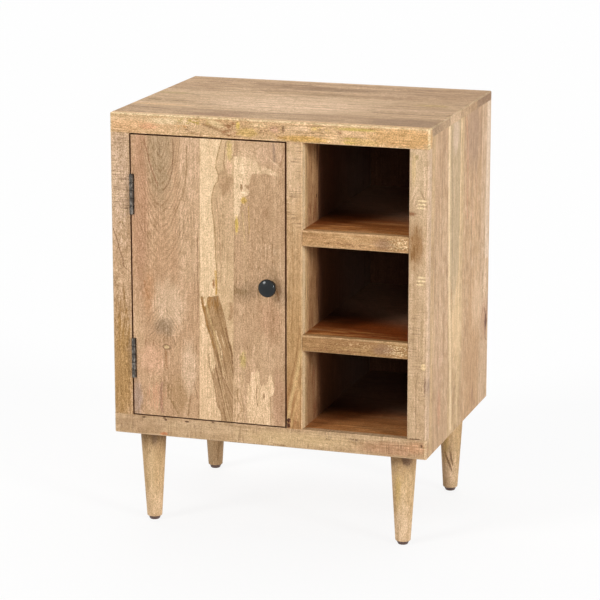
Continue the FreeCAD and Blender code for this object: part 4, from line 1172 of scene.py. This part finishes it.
def leg_wood():
    """All four legs, darker at the top and at the back: painted shade under the case and on the rear left leg.
    """
    w = Wood("leg_wood", "z", "x", "d0af83", 12, second="b89468", mottle=0.5, sway=3, grain=1.1, grit=1.2,
             sawing=0.3)
    # Painted shade at the top of the legs, under the case
    w.tint(w.step(w.u, 104, 150) * 0.75, "967654")
    w.tint(w.step(w.u, 70, 20) * 0.5, "e2c09a")
    # Painted shade on the whole rear left leg, and at the top of the front left leg
    w.tint(w.step(w.x, 0, -100) * w.step(w.y, 0, 100) * 0.5, "785a3a")
    w.tint(w.step(w.x, 0, -100) * w.step(w.y, 0, -100) * w.step(w.u, 80, 150) * 0.3, "806442")
    w.spot((86, 202), (30, 5), "caa85c", 0.5, rough=0.4, soft=0.6)
    w.spot((40, 208), (40, 10), "eccca8", 0.5, rough=0.3, soft=0.6)
    w.spot((140, -198), (12, 4), "705846", 0.6, rough=0.4, soft=0.6)
    w.spot((142, 216), (12, 6), "644a3a", 0.85, rough=0.4)
    rear = w.step(w.y, 0, 50) * w.step(w.x, 0, 50)
    w.tint(rear * w.step(w.u, 120, 80) * 0.15, "80623e")
    w.tint(rear * w.step(w.u, 90, 140) * 0.3, "d6b48e")
    w.tint(w.near((52, 206), (18, 1.7), rough=0.4, turn=-21) * rear * 0.75, "704e34")
    w.tint(w.near((58, 211), (14, 1.4), rough=0.4, turn=-10) * rear * 0.7, "704e34")
    w.figure((90, 206), (60, 60), "b89464", 0.4, (16, 4), cover=0.45)
    return w.finish()


upright_inner = upright_inner_wood()
flat_inner = flat_inner_wood()
INNER_LEFT, INNER_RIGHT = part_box("left_side_panel")[1].x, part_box("right_side_panel")[0].x
# How far a cutting block stands out beyond the board that it cuts
BEYOND = 0.01


def rabbet():
    """The recess round the back panel."""
    low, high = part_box("back_panel")
    return block(low, high + Vector((0, BEYOND, 0)))


def over_sides():
    """What the top's lap leaves free over the two side panels."""
    low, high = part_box("top_panel")
    sides_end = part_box("left_side_panel")[1].z
    front, back, under = low.y - BEYOND, high.y + BEYOND, low.z - BEYOND
    return [
        block((low.x - BEYOND, front, under), (INNER_LEFT, back, sides_end)),
        block((INNER_RIGHT, front, under), (high.x + BEYOND, back, sides_end)),
    ]


def between_sides(centre):
    """Whether a point is between the two side panels."""
    return INNER_LEFT < centre.x < INNER_RIGHT


def board(node, materials, rounds, cuts=(), inner=(), lies_inside=lambda centre: True, wobble=0.0):
    """Puts a rounded board in place of a CAD node. Its inner sides take the second material."""
    low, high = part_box(node)
    mesh = rounded(low, high, rounds, cuts=cuts, wobble=wobble, seed=len(node))
    inside_faces(mesh, inner, lies_inside)
    return finished(f"{node}_wood", mesh, node, materials)


board("top_panel", [top_wood(), flat_inner], {"-x+z": 2.0, "+x+z": 2.0, "+y+z": 1.5, "-x+y": 1, "+x+y": 1},
      cuts=[*over_sides(), rabbet()], inner=["-z"], lies_inside=between_sides, wobble=0.4)
for side, seed, outer, inner in (("right", 2, "+x", "-x"), ("left", 16, "-x", "+x")):
    board(f"{side}_side_panel", [side_wood(f"{side}_side_wood", seed), upright_inner],
          {f"{outer}+y": 1.5, f"{outer}-z": 1.2, "+y-z": 1}, cuts=[rabbet()], inner=[inner], wobble=0.3)
underside = panel_wood("underside_wood", "x", "y", "be9c74", 17,
                       planks=((-60, "cca87e"), (40, "b69068"), (130, "ceac84")))
board("bottom_panel", [underside, flat_inner], {"+y-z": 1}, cuts=[rabbet()], inner=["+z"])
board("back_panel", [back_wood()], {"+y+z": 0.6, "+y-z": 0.6, "-x+y": 0.6, "+x+y": 0.6})
board("divider_panel", [upright_inner, upright_inner], {}, inner=["+x", "-x"])
for level in ("upper", "lower"):
    board(f"{level}_shelf", [flat_inner, flat_inner], {}, inner=["+z"])
for level, seed, tone, middle in (("upper", 9, "be9466", 484), ("lower", 10, "aa8356", 320)):
    board(f"{level}_shelf_lipping", [shelf_lip_wood(f"{level}_shelf_lip_wood", seed, tone, middle)],
          {"-y+z": 2.2, "-y-z": 1.4}, wobble=0.5)
for node, wood, rounds in (
        ("top_rail", top_rail_wood,
         {"-y+z": 2.2, "-x-y": 2.5, "+x-y": 3.2, "-x+z": 2, "+x+z": 2, "-y-z": 0.8}),
        ("bottom_rail", bottom_rail_wood,
         {"-y-z": 1.8, "-x-y": 2.5, "+x-y": 3.2, "-x-z": 1.2, "+x-z": 1.2, "-y+z": 0.8}),
        ("left_stile", left_stile_wood, {"-x-y": 2.5, "+x-y": 0.8}),
        ("right_stile", right_stile_wood, {"+x-y": 3.2, "-x-y": 1.2}),
        ("divider_lipping", divider_lip_wood, {"+x-y": 1.6, "-x-y": 0.8})):
    board(node, [wood()], rounds, wobble=0.5)


# Metal and plastic

def speckled(paint, specks, low, share, colour, height):
    """Blends another colour into a paint where the specks are strong, and raises them."""
    paint.tint(paint.step(specks, low, 0.7, 0.0, share), colour)
    paint.raise_by(specks * height)
    return paint.finish()


def iron():
    """Blackened iron, rubbed lighter in places."""
    p = Paint("dark_iron", "544e48", roughness=0.3, Metallic=0.75)
    rub = p.specks(2.2, tall=5, detail=3, roughness=0.6)
    p.tint(p.step(rub, 0.48, 0.64, 0.0, 0.7), "9c948a")
    p.tint(p.step(p.specks(1.1), 0.55, 0.7, 0.0, 0.5), "22201f")
    p.raise_by(rub * 0.06)
    return p.finish()


def plain_metal(name, colour, roughness, rub_colour):
    p = Paint(name, colour, roughness=roughness, Metallic=0.7)
    return speckled(p, p.specks(1.6, detail=3, roughness=0.6), 0.4, 0.5, rub_colour, 0.03)


def knob_paint():
    p = Paint("black_knob", "0e1214", roughness=0.5, Metallic=0.1, Specular_IOR_Level=0.1, Coat_Weight=0.55,
              Coat_Roughness=0.13)
    return speckled(p, p.specks(0.6), 0.4, 0.5, "14171a", 0.02)


def plastic(name, colour, light, roughness):
    p = Paint(name, colour, roughness=roughness)
    return speckled(p, p.specks(1.5), 0.35, 0.6, light, 0.04)


# Hinges, in metres from here on

HINGES = ("upper_hinge", "lower_hinge")
KNUCKLES = 5
BARREL = 0.00325
BORE = 0.0016
KNUCKLE_CHAMFER = 0.0007
# Half of the gap between two knuckles
KNUCKLE_GAP = 0.00015
LEAF_THICKNESS = 0.0015
# How far behind the pin's axis a leaf's plate begins
PLATE_START = 0.0005
# Half of the width of a notch for another leaf's knuckle, and how far it goes behind the barrel
NOTCH = 0.006
NOTCH_SLACK = 0.0003
PLATE_ROUND = 0.25
PIN_CHAMFER = 0.0004


def upright(node):
    """The lowest and the highest place of a round upright piece, the foot of its axis, and its radius."""
    low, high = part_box(node)
    return low.z, high.z, ((low.x + high.x) / 2, (low.y + high.y) / 2, 0), (high.x - low.x) / 2


PIN_AXIS = upright("upper_hinge_pin")[2]
PIN_X, PIN_Y = PIN_AXIS[:2]


def hinge_leaf(hinge, kind, knuckles, paint):
    """A leaf with some of the hinge's knuckles, counted from below."""
    node = f"{hinge}_{kind}_leaf"
    low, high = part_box(node)
    step = (high.z - low.z) / KNUCKLES
    barrels, notches = [], []
    for k in range(KNUCKLES):
        bottom, top = low.z + step * k, low.z + step * (k + 1)
        if k in knuckles:
            bottom, top = bottom + KNUCKLE_GAP, top - KNUCKLE_GAP
            inner = BARREL - KNUCKLE_CHAMFER
            barrels.append(lathe(
                [(BORE, bottom), (inner, bottom), (BARREL, bottom + KNUCKLE_CHAMFER),
                 (BARREL, top - KNUCKLE_CHAMFER), (inner, top), (BORE, top)],
                segments=40, at=PIN_AXIS))
        else:
            notches.append(block(
                (PIN_X - NOTCH, PIN_Y - NOTCH, bottom - KNUCKLE_GAP),
                (PIN_X + NOTCH, PIN_Y + BARREL + NOTCH_SLACK, top + KNUCKLE_GAP)))
    if kind == "frame":
        left, right = low.x, low.x + LEAF_THICKNESS
    else:
        left, right = high.x - LEAF_THICKNESS, high.x
    plate = rounded(Vector((left, PIN_Y + PLATE_START, low.z)), Vector((right, high.y, high.z)), {},
                    plain=PLATE_ROUND, cuts=notches)
    mesh = joined([plate, *barrels])
    for polygon in mesh.polygons:
        polygon.use_smooth = True
    finished(f"{node}_metal", mesh, node, [paint])


def hinge_pin(hinge, paint):
    """A pin with a chamfer at each end."""
    node = f"{hinge}_pin"
    bottom, top, axis, r = upright(node)
    mesh = lathe([(0, bottom), (r * 0.7, bottom), (r, bottom + PIN_CHAMFER), (r, top - PIN_CHAMFER),
                  (r * 0.7, top), (0, top)], segments=32, at=axis)
    finished(f"{node}_metal", mesh, node, [paint])


iron_paint = iron()
for hinge in HINGES:
    hinge_leaf(hinge, "frame", (0, 2, 4), iron_paint)
    hinge_leaf(hinge, "door", (1, 3), iron_paint)
    hinge_pin(hinge, iron_paint)


# Door

LEAF_SLACK = 0.00025
BARREL_SLACK = 0.0012


def leaf_recesses():
    """What the door leaves free for its hinge leaves and for the barrels."""
    cuts = []
    for hinge in HINGES:
        low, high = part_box(f"{hinge}_door_leaf")
        bottom, top = low.z - LEAF_SLACK, high.z + LEAF_SLACK
        cuts.append(block((low.x - BEYOND, FRONT - BEYOND, bottom), (high.x, high.y + LEAF_SLACK, top)))
        cuts.append(bar(BARREL + BARREL_SLACK, (PIN_X, PIN_Y, bottom), (PIN_X, PIN_Y, top)))
    return cuts


def split_at_glue(mesh):
    """Cuts a mesh at the door's glue lines, so each plank has its own material."""
    shape = bmesh.new()
    shape.from_mesh(mesh)
    for edge in DOOR_GLUE:
        bmesh.ops.bisect_plane(shape, geom=[*shape.verts, *shape.edges, *shape.faces], dist=1e-7,
                               plane_co=(edge * MM, 0, 0), plane_no=(1, 0, -DOOR_LEAN))
    for face in shape.faces:
        centre = face.calc_center_median() / MM
        face.material_index = sum(centre.x - centre.z * DOOR_LEAN > edge for edge in DOOR_GLUE)
    shape.to_mesh(mesh)
    shape.free()


door = board("door_panel", [door_left_wood(), door_middle_wood(), door_right_wood()],
             {"-x-y": 0.8, "+x-y": 0.5, "-y+z": 0.7, "-y-z": 0.7, "-x+y": 0.8, "+x+y": 0.8, "+y+z": 0.8,
              "+y-z": 0.8}, cuts=leaf_recesses(), wobble=0.35)
split_at_glue(door.data)


# Knob

# The profile from the door to the neck, the radii of the domed face and of the rolled rim, and the number of
# points on each of these two
KNOB_BASE = ((0.008, 0.0), (0.008, 0.0022), (0.0058, 0.0032), (0.0062, 0.006))
KNOB_FACE = 0.024
KNOB_ROLL = 0.0045
KNOB_STEPS = 14


def smooth_profile(points, rounds=2):
    """Corner cutting: rounds off a profile while its ends stay."""
    for _ in range(rounds):
        cut = [points[0]]
        for a, b in zip(points, points[1:]):
            cut.append((a[0] * 0.75 + b[0] * 0.25, a[1] * 0.75 + b[1] * 0.25))
            cut.append((a[0] * 0.25 + b[0] * 0.75, a[1] * 0.25 + b[1] * 0.75))
        cut.append(points[-1])
        points = cut
    return points


def knob():
    """A base, a neck that widens, a rolled rim and a domed face."""
    low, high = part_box("knob")
    centre = (low + high) / 2
    reach = FRONT - low.y
    r = (high.x - low.x) / 2
    # Where the rolled rim runs into the face
    turn = math.asin((r - KNOB_ROLL) / (KNOB_FACE - KNOB_ROLL))
    rim = reach - KNOB_FACE + (KNOB_FACE - KNOB_ROLL) * math.cos(turn)
    neck = [*KNOB_BASE, (r - 0.0022, rim - 0.0042), (r - 0.0002, rim - 0.0016)]
    profile = [(0.0, 0.0), *smooth_profile(neck)]
    for k in range(KNOB_STEPS + 1):
        angle = (math.pi / 2 - turn) * k / KNOB_STEPS
        profile.append((r - KNOB_ROLL + KNOB_ROLL * math.cos(angle), rim + KNOB_ROLL * math.sin(angle)))
    for k in range(1, KNOB_STEPS):
        angle = turn * (1 - k / KNOB_STEPS)
        profile.append((KNOB_FACE * math.sin(angle), reach - KNOB_FACE + KNOB_FACE * math.cos(angle)))
    profile.append((0.0, reach))
    mesh = lathe(profile, segments=72, at=(centre.x, FRONT, centre.z),
                 way=Matrix.Rotation(math.radians(90), 4, "X"))
    finished("knob_turned", mesh, "knob", [knob_paint()])


knob()


# Legs and glides

LEG_FOOT = 0.012
FOOT_CHAMFER = 0.0008
LEG_STEPS = 24
GLIDE_FOOT = 0.0080


def leg(node, paint):
    """A straight taper with a chamfer at its foot."""
    bottom, top, axis, r = upright(node)
    start = bottom + FOOT_CHAMFER
    profile = [(0.0, bottom), (LEG_FOOT - 0.0010, bottom), (LEG_FOOT - 0.0004, bottom + 0.0002),
               (LEG_FOOT, start)]
    for k in range(1, LEG_STEPS + 1):
        share = k / LEG_STEPS
        profile.append((LEG_FOOT + (r - LEG_FOOT) * share, start + (top - start) * share))
    profile.append((0.0, top))
    finished(f"{node}_wood", lathe(profile, at=axis), node, [paint])


def glide(node, paint):
    """Wider at its top, with a chamfer at each end."""
    bottom, top, axis, r = upright(node)
    profile = [(0.0, bottom), (GLIDE_FOOT - 0.0007, bottom), (GLIDE_FOOT, bottom + FOOT_CHAMFER),
               (r, top - 0.0004), (r - 0.0002, top), (0.0, top)]
    finished(f"{node}_foot", lathe(profile, segments=48, at=axis), node, [paint])


leg_paint = leg_wood()
glide_paint = plastic("glide_plastic", "543e36", "6e5850", 0.55)
for depth in ("front", "rear"):
    for side in ("left", "right"):
        leg(f"{depth}_{side}_leg", leg_paint)
        glide(f"{depth}_{side}_glide", glide_paint)


# The pieces that keep their CAD shape

KEPT = {
    "zinc_steel": plain_metal("zinc", "bebeba", 0.38, "969694"),
    "brass": plain_metal("brass", "d6b06c", 0.35, "b08a50"),
    "catch_plastic": plastic("catch_plastic", "4a3020", "5c402e", 0.45),
    "magnet": plastic("magnet_ceramic", "343436", "464648", 0.6),
    "dowel_wood": panel_wood("dowel_wood", "x", "y", "d8b88c", 19),
}
for node, obj in frame["nodes"].items():
    if not obj.hide_render:
        obj.data.materials.clear()
        obj.data.materials.append(KEPT[SLOT_OF[node]])
